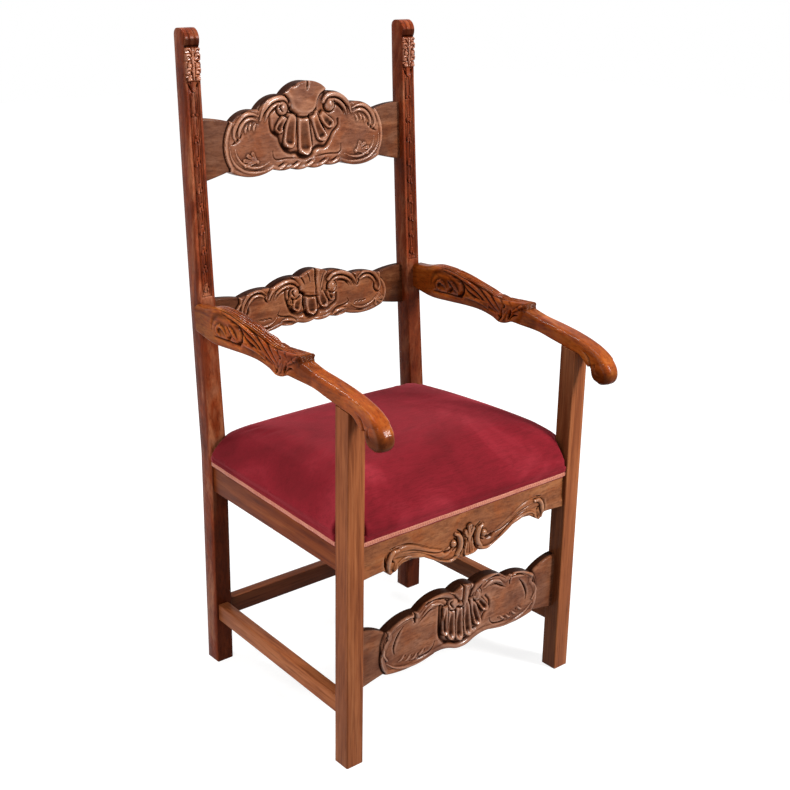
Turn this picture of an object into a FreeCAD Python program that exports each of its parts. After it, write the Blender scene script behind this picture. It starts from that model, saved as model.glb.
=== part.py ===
import FreeCAD, Part
import math
import os

# A carved throne chair: millimetres, +Z up, +X to the viewer's right, the back towards +Y.
# The origin is under the middle of the chair's overall box, on the floor.
# Share values are parts of the size that their comment or function names.

os.makedirs("parts", exist_ok=True)

# Frame: overall places
front_leg_span = 574.0
rear_post_span = 547.0
seat_run = 449.0
knob_reach = 83.0
post_top = 1256.0

# Front legs
leg_width = 36.5
leg_depth = 36.5
leg_ease = 1.6
leg_tenon_size = 15.0
leg_tenon_height = 14.0

# Rear posts: straight below the kink, then an even backward sweep and a slight taper
post_width = 36.0
post_depth = 38.0
post_kink = 455.0
post_sweep = 50.0
post_front_taper = 4.0
post_side_taper = 5.0
post_sweep_mid_share = 0.545
post_mid_height_share = 0.475
post_back_round = 12.0
post_roll_radius = 16.0
post_roll_overhang = 3.0
post_panel_foot = 768.0
post_panel_border = 6.0
post_panel_sink = 2.5
post_leaf_height = 60.0
post_leaf_rise = 2.5

# Seat rails
rail_top_front = 438.0
rail_rise_to_back = 8.0
side_rail_foot = 382.5
rail_thickness = 24.0
side_rail_setback = 4.0
front_rail_setback = 8.0
front_rail_foot = 331.0
rear_rail_setback = 8.0
front_rail_carving = 5.0

# Stretchers
side_stretcher_foot = 97.0
side_stretcher_height = 34.0
stretcher_thickness = 22.0
rear_stretcher_foot = 95.0
rear_stretcher_height = 36.0
rear_stretcher_setback = 8.0
board_foot = 137.0
board_height = 136.0
board_thickness = 17.5
board_back_inset = 0.5

# Back boards between the posts
crest_drop = 279.0
crest_height = 172.5
crest_thickness = 20.0
mid_foot = 670.0
mid_height = 111.5
mid_thickness = 18.0
back_board_inset = 0.5
carving_rise = 4.0
shell_rise = 8.0

# Tenons
tenon_thickness = 9.0
long_tenon = 18.0
short_tenon = 12.0
tenon_shoulder = 8.0
joint_clearance = 0.1

# Arms; their height shares count from a datum below the plane on which they sit on the front legs
arm_width = 36.0
arm_seat_height = 682.0
arm_seat_slope_share = 0.16
arm_rear_rise = 75.0
arm_datum_drop = 56.0
arm_top_round = 10.0
arm_foot_round = 2.5
arm_tip_round = 12.0
arm_tenon_height = 26.0
arm_tenon_drop = 10.0
arm_tenon_root = 14.0

# Corner blocks and their screws
block_height = 38.0
block_drop = 10.0
block_reach = 62.0
screw_radius = 2.1
screw_head_radius = 4.0
screw_head_height = 2.6
screw_length = 30.0
screw_in_block = 16.0
screw_clearance = 0.15

# Seat: webbing, base cloth, stuffing and cover
web_width = 50.0
web_thickness = 1.5
web_count = 4
web_edge = 4.0
web_side_room = 16.0
web_dip_share = 1.4
tack_head_radius = 3.2
tack_head_height = 0.8
tack_radius = 0.8
tack_length = 9.0
tack_spacing = 17.0
tack_inset = 7.0
tack_clearance = 0.05
cloth_thickness = 1.0
crown_height = 90.0
crown_plateau = 150.0
crown_corner_limit = 70.0
cover_thickness = 1.8
cover_lap = 10.0
cover_gap = 1.0
seat_corner_round = 9.0
braid_width = 9.5
braid_thickness = 2.2
braid_lap = 2.5

# One margin by which every cutting solid runs past what it cuts
overrun = 30.0

# Places worked out from the sizes above
crest_foot = post_top - crest_drop
arm_rear_top = arm_seat_height + arm_rear_rise
arm_datum = arm_seat_height - arm_datum_drop
total_depth = knob_reach + seat_run + post_depth + post_sweep
front_y = knob_reach - total_depth / 2
leg_back_y = front_y + leg_depth
post_front_y = front_y + seat_run
post_back_y = post_front_y + post_depth
leg_out_x = front_leg_span / 2
leg_in_x = leg_out_x - leg_width
post_out_x = rear_post_span / 2
post_in_x = post_out_x - post_width
front_rail_y = front_y + front_rail_setback
front_rail_back_y = front_rail_y + rail_thickness
rear_rail_back_y = post_back_y - rear_rail_setback
rear_rail_y = rear_rail_back_y - rail_thickness
rail_out_front_x = leg_out_x - side_rail_setback
rail_out_rear_x = post_out_x - side_rail_setback
side_run = post_front_y - leg_back_y
arm_x = leg_out_x - arm_width / 2
deck_angle = math.degrees(math.atan(rail_rise_to_back / seat_run))

# Half outlines of the carved boards, from the right end to the middle. Each list holds knots with the
# point that the arc between them passes, as shares of the half length and of the board's height.
crest_top_shares = [(1.0, 0.678), (0.842, 0.658), (0.707, 0.612), (0.594, 0.713), (0.467, 0.722),
                    (0.354, 0.842), (0.215, 0.867)]
crest_foot_shares = [(1.0, 0.003), (0.892, 0.035), (0.758, 0.084), (0.547, 0.0), (0.345, 0.058),
                     (0.253, 0.032), (0.168, 0.046), (0.084, 0.020), (0.0, 0.040)]
mid_top_shares = [(1.0, 0.767), (0.842, 0.749), (0.720, 0.704), (0.577, 0.785), (0.425, 0.780),
                  (0.290, 0.897), (0.143, 0.906)]
mid_foot_shares = [(1.0, 0.027), (0.884, 0.063), (0.762, 0.112), (0.547, 0.0), (0.337, 0.067),
                   (0.253, 0.037), (0.168, 0.065), (0.084, 0.025), (0.0, 0.058)]
board_top_shares = [(1.0, 0.868), (0.870, 0.827), (0.745, 0.713), (0.610, 0.828), (0.448, 0.842),
                    (0.285, 0.978), (0.112, 0.938)]
board_foot_shares = [(1.0, 0.0), (0.875, 0.052), (0.765, 0.093), (0.520, 0.040), (0.310, 0.090),
                     (0.200, 0.100), (0.105, 0.055), (0.055, 0.020), (0.0, 0.010)]
rail_foot_shares = [(1.0, 0.300), (0.880, 0.325), (0.800, 0.335), (0.780, 0.285), (0.742, 0.215),
                    (0.690, 0.285), (0.640, 0.355), (0.545, 0.372), (0.440, 0.335), (0.330, 0.190),
                    (0.190, 0.045), (0.140, 0.045), (0.100, 0.085), (0.055, 0.035), (0.0, 0.070)]

# Inner outline of a raised field, as shares of the half length and of the board's height
field_shares = [(0.80, 0.16), (0.87, 0.42), (0.73, 0.62)]

# Shell and scrolls, as shares of the board's height from the shell's heart
heart_height_share = 0.62
hood_radius_share = 0.25
lobe_count = 5
lobe_spread = 76.0
lobe_length_share = 0.41
lobe_width_share = 0.085
lobe_tip_share = 0.062
eye_place_share = 0.33
eye_rise_share = 0.11
eye_radius_share = 0.075
band_radius_share = 0.20
band_width_share = 0.045

# Rail scrolls, as shares of the front rail's height
rail_eye_shares = [(0.775, 0.42), (0.145, 0.32)]
rail_eye_radius_share = 0.13

# Arm stations: top and bottom points of each cross-section, forward from the post to the knob's tip.
# The run is the distance from the knob's front to the post's front face, the rise is the arm's height.
arm_top_shares = [(1.03, 1.0), (0.945, 1.02), (0.875, 1.08), (0.785, 1.075), (0.695, 1.025),
                  (0.622, 0.965), (0.560, 0.905), (0.514, 0.878), (0.473, 0.885), (0.432, 0.896),
                  (0.402, 0.905), (0.391, 0.815), (0.332, 0.762), (0.260, 0.723), (0.187, 0.675),
                  (0.123, 0.615), (0.069, 0.535), (0.031, 0.435), (0.007, 0.315), (0.0, 0.190),
                  (0.009, 0.098), (0.030, 0.056)]
arm_low_shares = [(1.03, 0.655), (0.945, 0.590), (0.875, 0.562), (0.785, 0.580), (0.695, 0.602),
                  (0.622, 0.602), (0.560, 0.562), (0.523, 0.510), (0.491, 0.522), (0.462, 0.570),
                  (0.440, 0.575), (0.422, 0.565)]
arm_waist_shares = [0.332, 0.260, 0.187, 0.139]
knob_low_shares = [(0.114, 0.350), (0.095, 0.283), (0.086, 0.215), (0.083, 0.160), (0.076, 0.110),
                   (0.058, 0.064)]
arm_width_shares = [0.84, 0.92, 1.02, 1.03, 1.02, 1.0, 1.0, 1.02, 1.04, 1.05, 1.04, 0.95, 0.93, 0.97,
                    1.0, 1.0, 1.0, 1.0, 1.0, 0.96, 0.86, 0.60]

# The most that a section's corner may be rounded, as a share of its smaller side
section_round_share = 0.48

# Seat sections upwards from the rails: how far each stands in from the crown's foot to its plateau,
# and how high, as shares of the plateau's inset and of the crown's height
seat_inset_shares = [0.0, -0.013, -0.023, -0.023, -0.007, 0.027, 0.073, 0.147, 0.253, 0.40, 0.567, 0.767, 1.0]
seat_height_shares = [0.0, 0.07, 0.15, 0.22, 0.29, 0.38, 0.50, 0.65, 0.785, 0.87, 0.93, 0.975, 1.0]

# How fast the corners of the seat sections round off, as a share of their inset, and how much fuller
# the crown is at the front than in its middle, as a share of its height
crown_corner_share = 1.2
crown_front_share = 0.15


def at(x, y, z):
    return FreeCAD.Vector(x, y, z)


def box(x, y, z):
    """A box from three (low, high) pairs."""
    low = at(x[0], y[0], z[0])
    return Part.makeBox(x[1] - x[0], y[1] - y[0], z[1] - z[0], low)


def grown(pair, extra):
    return (pair[0] - extra, pair[1] + extra)


def polygon(points):
    return Part.Face(Part.makePolygon(points + [points[0]]))


def mirrored(shape):
    """The same shape on the chair's other side."""
    return shape.mirror(at(0, 0, 0), at(1, 0, 0))


def save(name, shape):
    shape.exportStep("parts/" + name + ".step")


def save_pair(name, make):
    """Left and right pieces: left is on the side of low X."""
    right = make()
    save("right_" + name, right)
    save("left_" + name, mirrored(right))


def rounded_wire(points, radii):
    """A closed outline through the points with each corner an arc of its radius."""
    count = len(points)
    starts = []
    ends = []
    arcs = []
    for index in range(count):
        corner = points[index]
        back = (points[index - 1] - corner).normalize()
        ahead = (points[(index + 1) % count] - corner).normalize()
        half = back.getAngle(ahead) / 2
        reach = radii[index] / math.tan(half)
        start = corner + back * reach
        end = corner + ahead * reach
        inward = (back + ahead).normalize()
        middle = corner + inward * (radii[index] / math.sin(half) - radii[index])
        starts.append(start)
        ends.append(end)
        arcs.append(Part.Arc(start, middle, end).toShape())
    edges = []
    for index in range(count):
        edges.append(arcs[index])
        edges.append(Part.LineSegment(ends[index], starts[(index + 1) % count]).toShape())
    return Part.Wire(edges)


def circle_through(first, second, third):
    """Centre and radius, in the (Y, Z) plane, of the circle through three points."""
    ay, az = first
    by, bz = second
    cy, cz = third
    turn = 2 * (ay * (bz - cz) + by * (cz - az) + cy * (az - bz))
    a2 = ay * ay + az * az
    b2 = by * by + bz * bz
    c2 = cy * cy + cz * cz
    centre_y = (a2 * (bz - cz) + b2 * (cz - az) + c2 * (az - bz)) / turn
    centre_z = (a2 * (cy - by) + b2 * (ay - cy) + c2 * (by - ay)) / turn
    return centre_y, centre_z, math.hypot(ay - centre_y, az - centre_z)


# The backward sweep of a post's faces; the front one sweeps further, so the post tapers upwards
sweep_top = post_top - post_back_round
sweep_mid = post_kink + (sweep_top - post_kink) * post_mid_height_share


def sweep_circle(reach):
    middle = (reach * post_sweep_mid_share, sweep_mid)
    return circle_through((0, post_kink), middle, (reach, sweep_top))


back_sweep = sweep_circle(post_sweep)
front_sweep = sweep_circle(post_sweep + post_front_taper)


def sweep_at(z, circle):
    """How far back a post's face stands at a height above its kink."""
    centre_y, centre_z, radius = circle
    return centre_y - math.copysign(math.sqrt(radius ** 2 - (z - centre_z) ** 2), centre_y)


def swept_edge(face_y, low, high, circle):
    """An arc of a post's front or back face, upwards."""
    middle = (low + high) / 2
    points = [at(0, face_y + sweep_at(z, circle), z) for z in (low, middle, high)]
    return Part.Arc(points[0], points[1], points[2]).toShape()


def beside_post(inset):
    """Everything outside a post's leaning outer face, when that face is moved in by the inset."""
    x = post_out_x - inset
    points = [at(x, -total_depth, post_kink), at(x - post_side_taper, -total_depth, post_top)]
    points += [at(x + overrun, -total_depth, post_top), at(x + overrun, -total_depth, post_kink)]
    return polygon(points).extrude(at(0, 2 * total_depth, 0))


def post_profile():
    """The post's side view: straight foot, swept back, rolled front top and rounded back top."""
    roll_low = post_top - 2 * post_roll_radius
    roll_foot = at(0, post_front_y + sweep_at(roll_low, front_sweep), roll_low)
    roll_front = at(0, roll_foot.y - post_roll_overhang, roll_low + post_roll_radius)
    roll_top = at(0, roll_front.y + post_roll_radius, post_top)
    back = post_back_y + post_sweep
    back_top = at(0, back - post_back_round, post_top)
    ease = post_back_round * (1 - math.sqrt(0.5))
    edges = [Part.LineSegment(at(0, post_front_y, 0), at(0, post_front_y, post_kink)).toShape()]
    edges.append(swept_edge(post_front_y, post_kink, roll_low, front_sweep))
    edges.append(Part.Arc(roll_foot, roll_front, roll_top).toShape())
    edges.append(Part.LineSegment(roll_top, back_top).toShape())
    edges.append(Part.Arc(back_top, at(0, back - ease, post_top - ease), at(0, back, sweep_top)).toShape())
    edges.append(swept_edge(post_back_y, post_kink, sweep_top, back_sweep))
    edges.append(Part.LineSegment(at(0, post_back_y, post_kink), at(0, post_back_y, 0)).toShape())
    edges.append(Part.LineSegment(at(0, post_back_y, 0), at(0, post_front_y, 0)).toShape())
    return Part.Face(Part.Wire(Part.__sortEdges__(edges)))


def front_band(low, high, side_inset, depth_out, depth_in):
    """A band along a post's swept front face, between two heights."""
    front = post_front_y - depth_out
    back = post_front_y + depth_in
    low_front = at(0, front + sweep_at(low, front_sweep), low)
    high_front = at(0, front + sweep_at(high, front_sweep), high)
    low_back = at(0, back + sweep_at(low, front_sweep), low)
    high_back = at(0, back + sweep_at(high, front_sweep), high)
    edges = [swept_edge(front, low, high, front_sweep), swept_edge(back, low, high, front_sweep)]
    edges.append(Part.LineSegment(high_front, high_back).toShape())
    edges.append(Part.LineSegment(low_back, low_front).toShape())
    face = Part.Face(Part.Wire(Part.__sortEdges__(edges)))
    face.translate(at(post_in_x + side_inset, 0, 0))
    return face.extrude(at(post_width, 0, 0)).cut(beside_post(side_inset))


def side_tenon(low, length, along, foot, top, x_middle, extra):
    """A tenon along Y from a shoulder plane, in line with a side rail or stretcher."""
    reach = (low, low + along * length)
    y = grown((min(reach), max(reach)), extra)
    x = grown((x_middle - tenon_thickness / 2, x_middle + tenon_thickness / 2), extra)
    return box(x, y, grown((foot, top), extra))


def cross_tenon(in_x, length, foot, top, y_middle, extra):
    """A tenon along X from a leg's or post's inner face."""
    x = grown((in_x, in_x + length), extra)
    y = grown((y_middle - tenon_thickness / 2, y_middle + tenon_thickness / 2), extra)
    return box(x, y, grown((foot, top), extra))


def side_middle(in_line_x):
    """The X of the middle of a side rail whose outer face is at this X."""
    return in_line_x - rail_thickness / 2


def rail_tenon_span():
    return side_rail_foot + tenon_shoulder, rail_top_front - tenon_shoulder


def stretcher_tenon_span():
    foot = side_stretcher_foot + tenon_shoulder / 2
    return foot, side_stretcher_foot + side_stretcher_height - tenon_shoulder / 2


def side_tenons(span, extra, at_front, at_rear):
    """Tenons of a side rail or stretcher, into the leg and into the post."""
    foot, top = span
    tenons = []
    if at_front:
        middle = side_middle(rail_out_front_x)
        tenons.append(side_tenon(leg_back_y, long_tenon, -1, foot, top, middle, extra))
    if at_rear:
        middle = side_middle(rail_out_rear_x)
        tenons.append(side_tenon(post_front_y, long_tenon, 1, foot, top, middle, extra))
    return tenons


def front_rail_tenon(extra):
    foot, top = rail_tenon_span()
    return cross_tenon(leg_in_x, short_tenon, foot, top, (front_rail_y + front_rail_back_y) / 2, extra)


def rear_rail_tenon(extra):
    foot, top = rail_tenon_span()
    return cross_tenon(post_in_x, short_tenon, foot, top, (rear_rail_y + rear_rail_back_y) / 2, extra)


board_back_y = leg_back_y - board_back_inset
board_front_y = board_back_y - board_thickness


def board_tenon(extra):
    foot = board_foot + 2 * tenon_shoulder
    top = board_foot + board_height * board_top_shares[2][1] - tenon_shoulder
    return cross_tenon(leg_in_x, short_tenon, foot, top, (board_front_y + board_back_y) / 2, extra)


rear_stretcher_y = post_front_y + rear_stretcher_setback


def rear_stretcher_tenon(extra):
    foot = rear_stretcher_foot + tenon_shoulder
    top = rear_stretcher_foot + rear_stretcher_height - tenon_shoulder
    middle = rear_stretcher_y + stretcher_thickness / 2
    return cross_tenon(post_in_x, short_tenon, foot, top, middle, extra)


def leaned(shape, foot, height):
    """Stand a back board, made with its back face at Y 0 and its foot at Z 0, along the posts' backs."""
    low = sweep_at(foot, back_sweep)
    high = sweep_at(foot + height, back_sweep)
    angle = math.degrees(math.asin((high - low) / height))
    moved = shape.copy()
    moved.rotate(at(0, 0, 0), at(1, 0, 0), -angle)
    moved.translate(at(0, post_back_y + low - back_board_inset, foot))
    return moved


def back_board_tenon(foot, height, thickness, top_share, extra):
    """A back board's right tenon, with its mortise when grown."""
    x = grown((post_in_x, post_in_x + short_tenon), extra)
    y = grown((-(thickness + tenon_thickness) / 2, -(thickness - tenon_thickness) / 2), extra)
    z = grown((tenon_shoulder, height * top_share - tenon_shoulder), extra)
    return leaned(box(x, y, z), foot, height)


def crest_tenon(extra):
    return back_board_tenon(crest_foot, crest_height, crest_thickness, crest_top_shares[2][1], extra)


def mid_tenon(extra):
    return back_board_tenon(mid_foot, mid_height, mid_thickness, mid_top_shares[2][1], extra)


arm_run = knob_reach + seat_run + sweep_at(arm_rear_top - arm_tenon_drop, front_sweep)
arm_rise = arm_rear_top - arm_datum
knob_y = front_y - knob_reach


def arm_tenon(extra):
    """The arm's tenon into the post, on the part of the arm that the post stands behind."""
    shared = (arm_x - arm_width / 2, post_out_x)
    middle = sum(shared) / 2
    x = grown((middle - tenon_thickness / 2, middle + tenon_thickness / 2), extra)
    top = arm_rear_top - arm_tenon_drop
    face = post_front_y + sweep_at(top, front_sweep)
    z = grown((top - arm_tenon_height, top), extra)
    return box(x, (face - arm_tenon_root, face + short_tenon + extra), z)


def rear_post():
    """The right rear post with its mortises, sunk panel and raised top leaf."""
    face = post_profile()
    face.translate(at(post_in_x, 0, 0))
    post = face.extrude(at(post_width, 0, 0)).cut(beside_post(0))
    roll_low = post_top - 2 * post_roll_radius
    panel_top = roll_low - post_leaf_height
    post = post.cut(front_band(post_panel_foot, panel_top, post_panel_border, overrun, post_panel_sink))
    leaf_low = panel_top + post_panel_border
    leaf_high = roll_low - post_panel_border
    post = post.fuse(front_band(leaf_low, leaf_high, post_panel_border / 2, post_leaf_rise, post_leaf_rise))
    gap = joint_clearance
    cuts = side_tenons(rail_tenon_span(), gap, False, True)
    cuts += side_tenons(stretcher_tenon_span(), gap, False, True)
    cuts += [rear_rail_tenon(gap), rear_stretcher_tenon(gap), crest_tenon(gap), mid_tenon(gap)]
    cuts.append(arm_tenon(gap))
    return post.cut(cuts).Solids[0]


def leg_tenon(extra):
    """The stub on a front leg's top that enters the arm."""
    middle_x = leg_out_x - leg_width / 2
    middle_y = front_y + leg_depth / 2
    half = leg_tenon_size / 2
    foot = arm_seat_height - leg_tenon_height
    top = arm_seat_height + leg_depth * arm_seat_slope_share + leg_tenon_height
    x = grown((middle_x - half, middle_x + half), extra)
    y = grown((middle_y - half, middle_y + half), extra)
    return box(x, y, (foot, top + extra))


def leg_bar(height):
    """A leg's bar with its four long arrises eased."""
    inner = grown((leg_in_x, leg_out_x), -leg_ease)
    deep = grown((front_y, leg_back_y), -leg_ease)
    plan = [(inner[0], front_y), (inner[1], front_y), (leg_out_x, deep[0]), (leg_out_x, deep[1])]
    plan += [(inner[1], leg_back_y), (inner[0], leg_back_y), (leg_in_x, deep[1]), (leg_in_x, deep[0])]
    return polygon([at(x, y, 0) for x, y in plan]).extrude(at(0, 0, height))


def front_leg():
    """The right front leg, with its top cut to the slope of the arm's underside."""
    back_top = arm_seat_height + leg_depth * arm_seat_slope_share
    points = [at(leg_in_x, front_y, arm_seat_height), at(leg_in_x, leg_back_y, back_top)]
    points += [at(leg_in_x, leg_back_y, back_top + overrun), at(leg_in_x, front_y, back_top + overrun)]
    leg = leg_bar(back_top).cut(polygon(points).extrude(at(leg_width, 0, 0)))
    gap = joint_clearance
    cuts = side_tenons(rail_tenon_span(), gap, True, False)
    cuts += side_tenons(stretcher_tenon_span(), gap, True, False)
    cuts += [front_rail_tenon(gap), board_tenon(gap)]
    return leg.cut(cuts).fuse(leg_tenon(0)).removeSplitter().Solids[0]


def above_deck(lift):
    """Everything over the seat's deck plane, which rises to the back."""
    reach = total_depth
    slope = math.tan(math.radians(deck_angle))
    base = rail_top_front + lift
    low = at(-leg_out_x - overrun, front_y - reach, base - reach * slope)
    high = at(-leg_out_x - overrun, front_y + reach, base + reach * slope)
    ceiling = base + total_depth
    points = [low, high, at(low.x, high.y, ceiling), at(low.x, low.y, ceiling)]
    return polygon(points).extrude(at(front_leg_span + 2 * overrun, 0, 0))


def on_deck(shape):
    """Turn a piece made level on the front rail's top into the deck plane."""
    moved = shape.copy()
    moved.rotate(at(0, front_y, rail_top_front), at(1, 0, 0), deck_angle)
    return moved


def side_plan(inset, thickness, foot, top):
    """A side rail's or stretcher's body between leg and post, as thick as stated."""
    outer_front = rail_out_front_x - inset
    outer_rear = rail_out_rear_x - inset
    points = [at(outer_front, leg_back_y, foot), at(outer_rear, post_front_y, foot)]
    points += [at(outer_rear - thickness, post_front_y, foot), at(outer_front - thickness, leg_back_y, foot)]
    return polygon(points).extrude(at(0, 0, top - foot))


def mortised(body, tenons):
    """A rail with its tenons, each shortened by the gap at the mortise's end."""
    return body.fuse(tenons).removeSplitter().Solids[0]


def side_rail():
    top = rail_top_front + rail_rise_to_back
    body = side_plan(0, rail_thickness, side_rail_foot, top).cut(above_deck(0))
    body = mortised(body, side_tenons(rail_tenon_span(), 0, True, True))
    return body.cut(block_screws(screw_clearance) + webbing_tacks(tack_clearance)).Solids[0]


def side_stretcher():
    inset = (rail_thickness - stretcher_thickness) / 2
    top = side_stretcher_foot + side_stretcher_height
    body = side_plan(inset, stretcher_thickness, side_stretcher_foot, top)
    return mortised(body, side_tenons(stretcher_tenon_span(), 0, True, True))


def arcs_through(points):
    """Arcs from knot to knot, each through the point between them."""
    edges = []
    for index in range(0, len(points) - 2, 2):
        edges.append(Part.Arc(points[index], points[index + 1], points[index + 2]).toShape())
    return edges


def whole_edge(shares, half, foot, height, y, apex):
    """A board's upper or lower edge from its right end to its left end."""
    right = [at(x * half, y, foot + z * height) for x, z in shares]
    left = [at(-point.x, point.y, point.z) for point in reversed(right)]
    if apex:
        return right + [at(0, y, foot + height)] + left
    return right + left[1:]


def board_face(half, foot, height, y, top_shares, foot_shares):
    """A carved board's front view, with scalloped upper and lower edges."""
    upper = whole_edge(top_shares, half, foot, height, y, True)
    lower = whole_edge(foot_shares, half, foot, height, y, False)
    edges = arcs_through(upper) + arcs_through(lower)
    edges.append(Part.LineSegment(upper[0], lower[0]).toShape())
    edges.append(Part.LineSegment(upper[-1], lower[-1]).toShape())
    return Part.Face(Part.Wire(Part.__sortEdges__(edges)))


def raised_field(half, foot, height, y, rise, outline):
    """The cartouche that stands proud of a board's plain ends."""
    (low_x, low_z), (mid_x, mid_z), (top_x, top_z) = field_shares
    points = [at(low_x * half, y, foot + low_z * height), at(mid_x * half, y, foot + mid_z * height)]
    points.append(at(top_x * half, y, foot + top_z * height))
    edges = [Part.Arc(points[0], points[1], points[2]).toShape()]
    roof = foot + height + overrun
    floor = foot - overrun
    right = [at(points[2].x, y, roof), at(-points[2].x, y, roof)]
    edges.append(Part.LineSegment(points[2], right[0]).toShape())
    edges.append(Part.LineSegment(right[0], right[1]).toShape())
    twin = [at(-point.x, point.y, point.z) for point in points]
    edges.append(Part.LineSegment(right[1], twin[2]).toShape())
    edges.append(Part.Arc(twin[2], twin[1], twin[0]).toShape())
    edges.append(Part.LineSegment(twin[0], at(twin[0].x, y, floor)).toShape())
    edges.append(Part.LineSegment(at(twin[0].x, y, floor), at(points[0].x, y, floor)).toShape())
    edges.append(Part.LineSegment(at(points[0].x, y, floor), points[0]).toShape())
    window = Part.Face(Part.Wire(Part.__sortEdges__(edges))).extrude(at(0, -rise, 0))
    return outline.extrude(at(0, -rise, 0)).common(window)


def disc(x, z, y, radius, rise):
    return Part.makeCylinder(radius, rise, at(x, y, z), at(0, -1, 0))


def lobe(heart, angle, height, y, rise):
    """One flute of the shell, from its heart outwards."""
    length = height * lobe_length_share * math.cos(math.radians(angle) / 2)
    root = height * lobe_width_share / 2
    tip = height * lobe_tip_share
    points = [at(-root, y, 0), at(-tip, y, -length), at(tip, y, -length), at(root, y, 0)]
    body = polygon(points).extrude(at(0, -rise, 0)).fuse(disc(0, -length, y, tip, rise))
    body.rotate(at(0, y, 0), at(0, 1, 0), angle)
    body.translate(at(0, 0, heart))
    return body


def band(x, z, height, y, rise, side):
    """A C-scroll: part of a ring over the scroll's eye."""
    outer = height * band_radius_share
    inner = outer - height * band_width_share
    ring = Part.makeCylinder(outer, rise, at(0, y, 0), at(0, -1, 0))
    ring = ring.cut(Part.makeCylinder(inner, rise, at(0, y, 0), at(0, -1, 0)))
    keep = Part.makeBox(2 * outer, rise, outer, at(-outer, y - rise, 0))
    ring = ring.common(keep)
    ring.translate(at(side * x, 0, z))
    return ring


def carving(foot, height, y, rise):
    """A shell with its hood, flutes, scroll eyes and C-scrolls."""
    heart = foot + height * heart_height_share
    flute_rise = (carving_rise + rise) / 2
    pieces = [disc(0, heart + height * eye_rise_share, y, height * hood_radius_share, flute_rise)]
    for index in range(lobe_count):
        angle = (index - (lobe_count - 1) / 2) * lobe_spread / (lobe_count - 1)
        pieces.append(lobe(heart, angle, height, y, rise))
    for side in (-1, 1):
        x = height * eye_place_share
        z = heart + height * eye_rise_share
        pieces.append(disc(side * x, z, y, height * eye_radius_share, rise))
        pieces.append(band(x, z - height * eye_radius_share / 2, height, y, flute_rise, side))
    return pieces


def carved(half, foot, height, y, top_shares, foot_shares, thickness):
    """A board with its scalloped outline, raised field and shell, standing from Y back to front."""
    outline = board_face(half, foot, height, y, top_shares, foot_shares)
    body = outline.extrude(at(0, thickness, 0))
    body = body.fuse(raised_field(half, foot, height, y, carving_rise, outline))
    relief = [piece.common(outline.extrude(at(0, -shell_rise, 0))) for piece in
              carving(foot, height, y, shell_rise)]
    return body.fuse(relief).removeSplitter()


def back_board(foot, height, thickness, top_shares, foot_shares, tenon):
    """A carved board between the rear posts, leaning with them."""
    body = carved(post_in_x, 0, height, -thickness, top_shares, foot_shares, thickness)
    body = leaned(body, foot, height)
    return mortised(body, [tenon, mirrored(tenon)])


def front_board():
    body = carved(leg_in_x, board_foot, board_height, board_front_y, board_top_shares,
                  board_foot_shares, board_thickness)
    return mortised(body, [board_tenon(0), mirrored(board_tenon(0))])


def front_rail_height():
    return rail_top_front - front_rail_foot


def front_rail():
    """The front seat rail: straight top, scrolled foot with raised volutes."""
    height = front_rail_height()
    y = front_rail_y
    lower = whole_edge(rail_foot_shares, leg_in_x, front_rail_foot, height, y, False)
    top = [at(leg_in_x, y, rail_top_front), at(-leg_in_x, y, rail_top_front)]
    edges = arcs_through(lower) + [Part.LineSegment(top[0], top[1]).toShape()]
    edges.append(Part.LineSegment(lower[0], top[0]).toShape())
    edges.append(Part.LineSegment(lower[-1], top[1]).toShape())
    outline = Part.Face(Part.Wire(Part.__sortEdges__(edges)))
    body = outline.extrude(at(0, rail_thickness, 0))
    reach = outline.extrude(at(0, -front_rail_carving, 0))
    eyes = []
    for x, z in rail_eye_shares:
        for side in (-1, 1):
            centre = (side * x * leg_in_x, front_rail_foot + z * height)
            eye = disc(centre[0], centre[1], y, height * rail_eye_radius_share, front_rail_carving)
            eyes.append(eye.common(reach))
    body = body.fuse(eyes).removeSplitter()
    tenons = [front_rail_tenon(0), mirrored(front_rail_tenon(0))]
    body = mortised(body, tenons).cut(above_deck(0))
    return body.cut(all_screws(screw_clearance) + webbing_tacks(tack_clearance)).Solids[0]


def rear_rail():
    top = rail_top_front + rail_rise_to_back * 2
    body = box((-post_in_x, post_in_x), (rear_rail_y, rear_rail_back_y), (side_rail_foot, top))
    body = body.cut(above_deck(0))
    body = mortised(body, [rear_rail_tenon(0), mirrored(rear_rail_tenon(0))])
    return body.cut(all_screws(screw_clearance) + webbing_tacks(tack_clearance)).Solids[0]


def rear_stretcher():
    top = rear_stretcher_foot + rear_stretcher_height
    y = (rear_stretcher_y, rear_stretcher_y + stretcher_thickness)
    body = box((-post_in_x, post_in_x), y, (rear_stretcher_foot, top))
    tenon = rear_stretcher_tenon(0)
    return mortised(body, [tenon, mirrored(tenon)])


def arm_low_points():
    """The arm's underside: carved rear part, straight seat over the leg, then the knob."""
    points = [(y * arm_run, z * arm_rise + arm_datum) for y, z in arm_low_shares]
    for share in arm_waist_shares:
        place = share * arm_run
        points.append((place, arm_seat_height + (place - knob_reach) * arm_seat_slope_share))
    return points + [(y * arm_run, z * arm_rise + arm_datum) for y, z in knob_low_shares]


def arm_section(top, low, width_share, low_round):
    """A rounded section between a top and a bottom point of the arm's side view."""
    half = arm_width * width_share / 2
    corners = [at(arm_x - half, knob_y + top[0], top[1]), at(arm_x + half, knob_y + top[0], top[1])]
    corners += [at(arm_x + half, knob_y + low[0], low[1]), at(arm_x - half, knob_y + low[0], low[1])]
    tall = math.hypot(top[0] - low[0], top[1] - low[1])
    limit = min(tall, 2 * half) * section_round_share
    upper = min(arm_top_round, limit)
    lower = min(low_round, limit)
    return rounded_wire(corners, [upper, upper, lower, lower])


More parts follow.
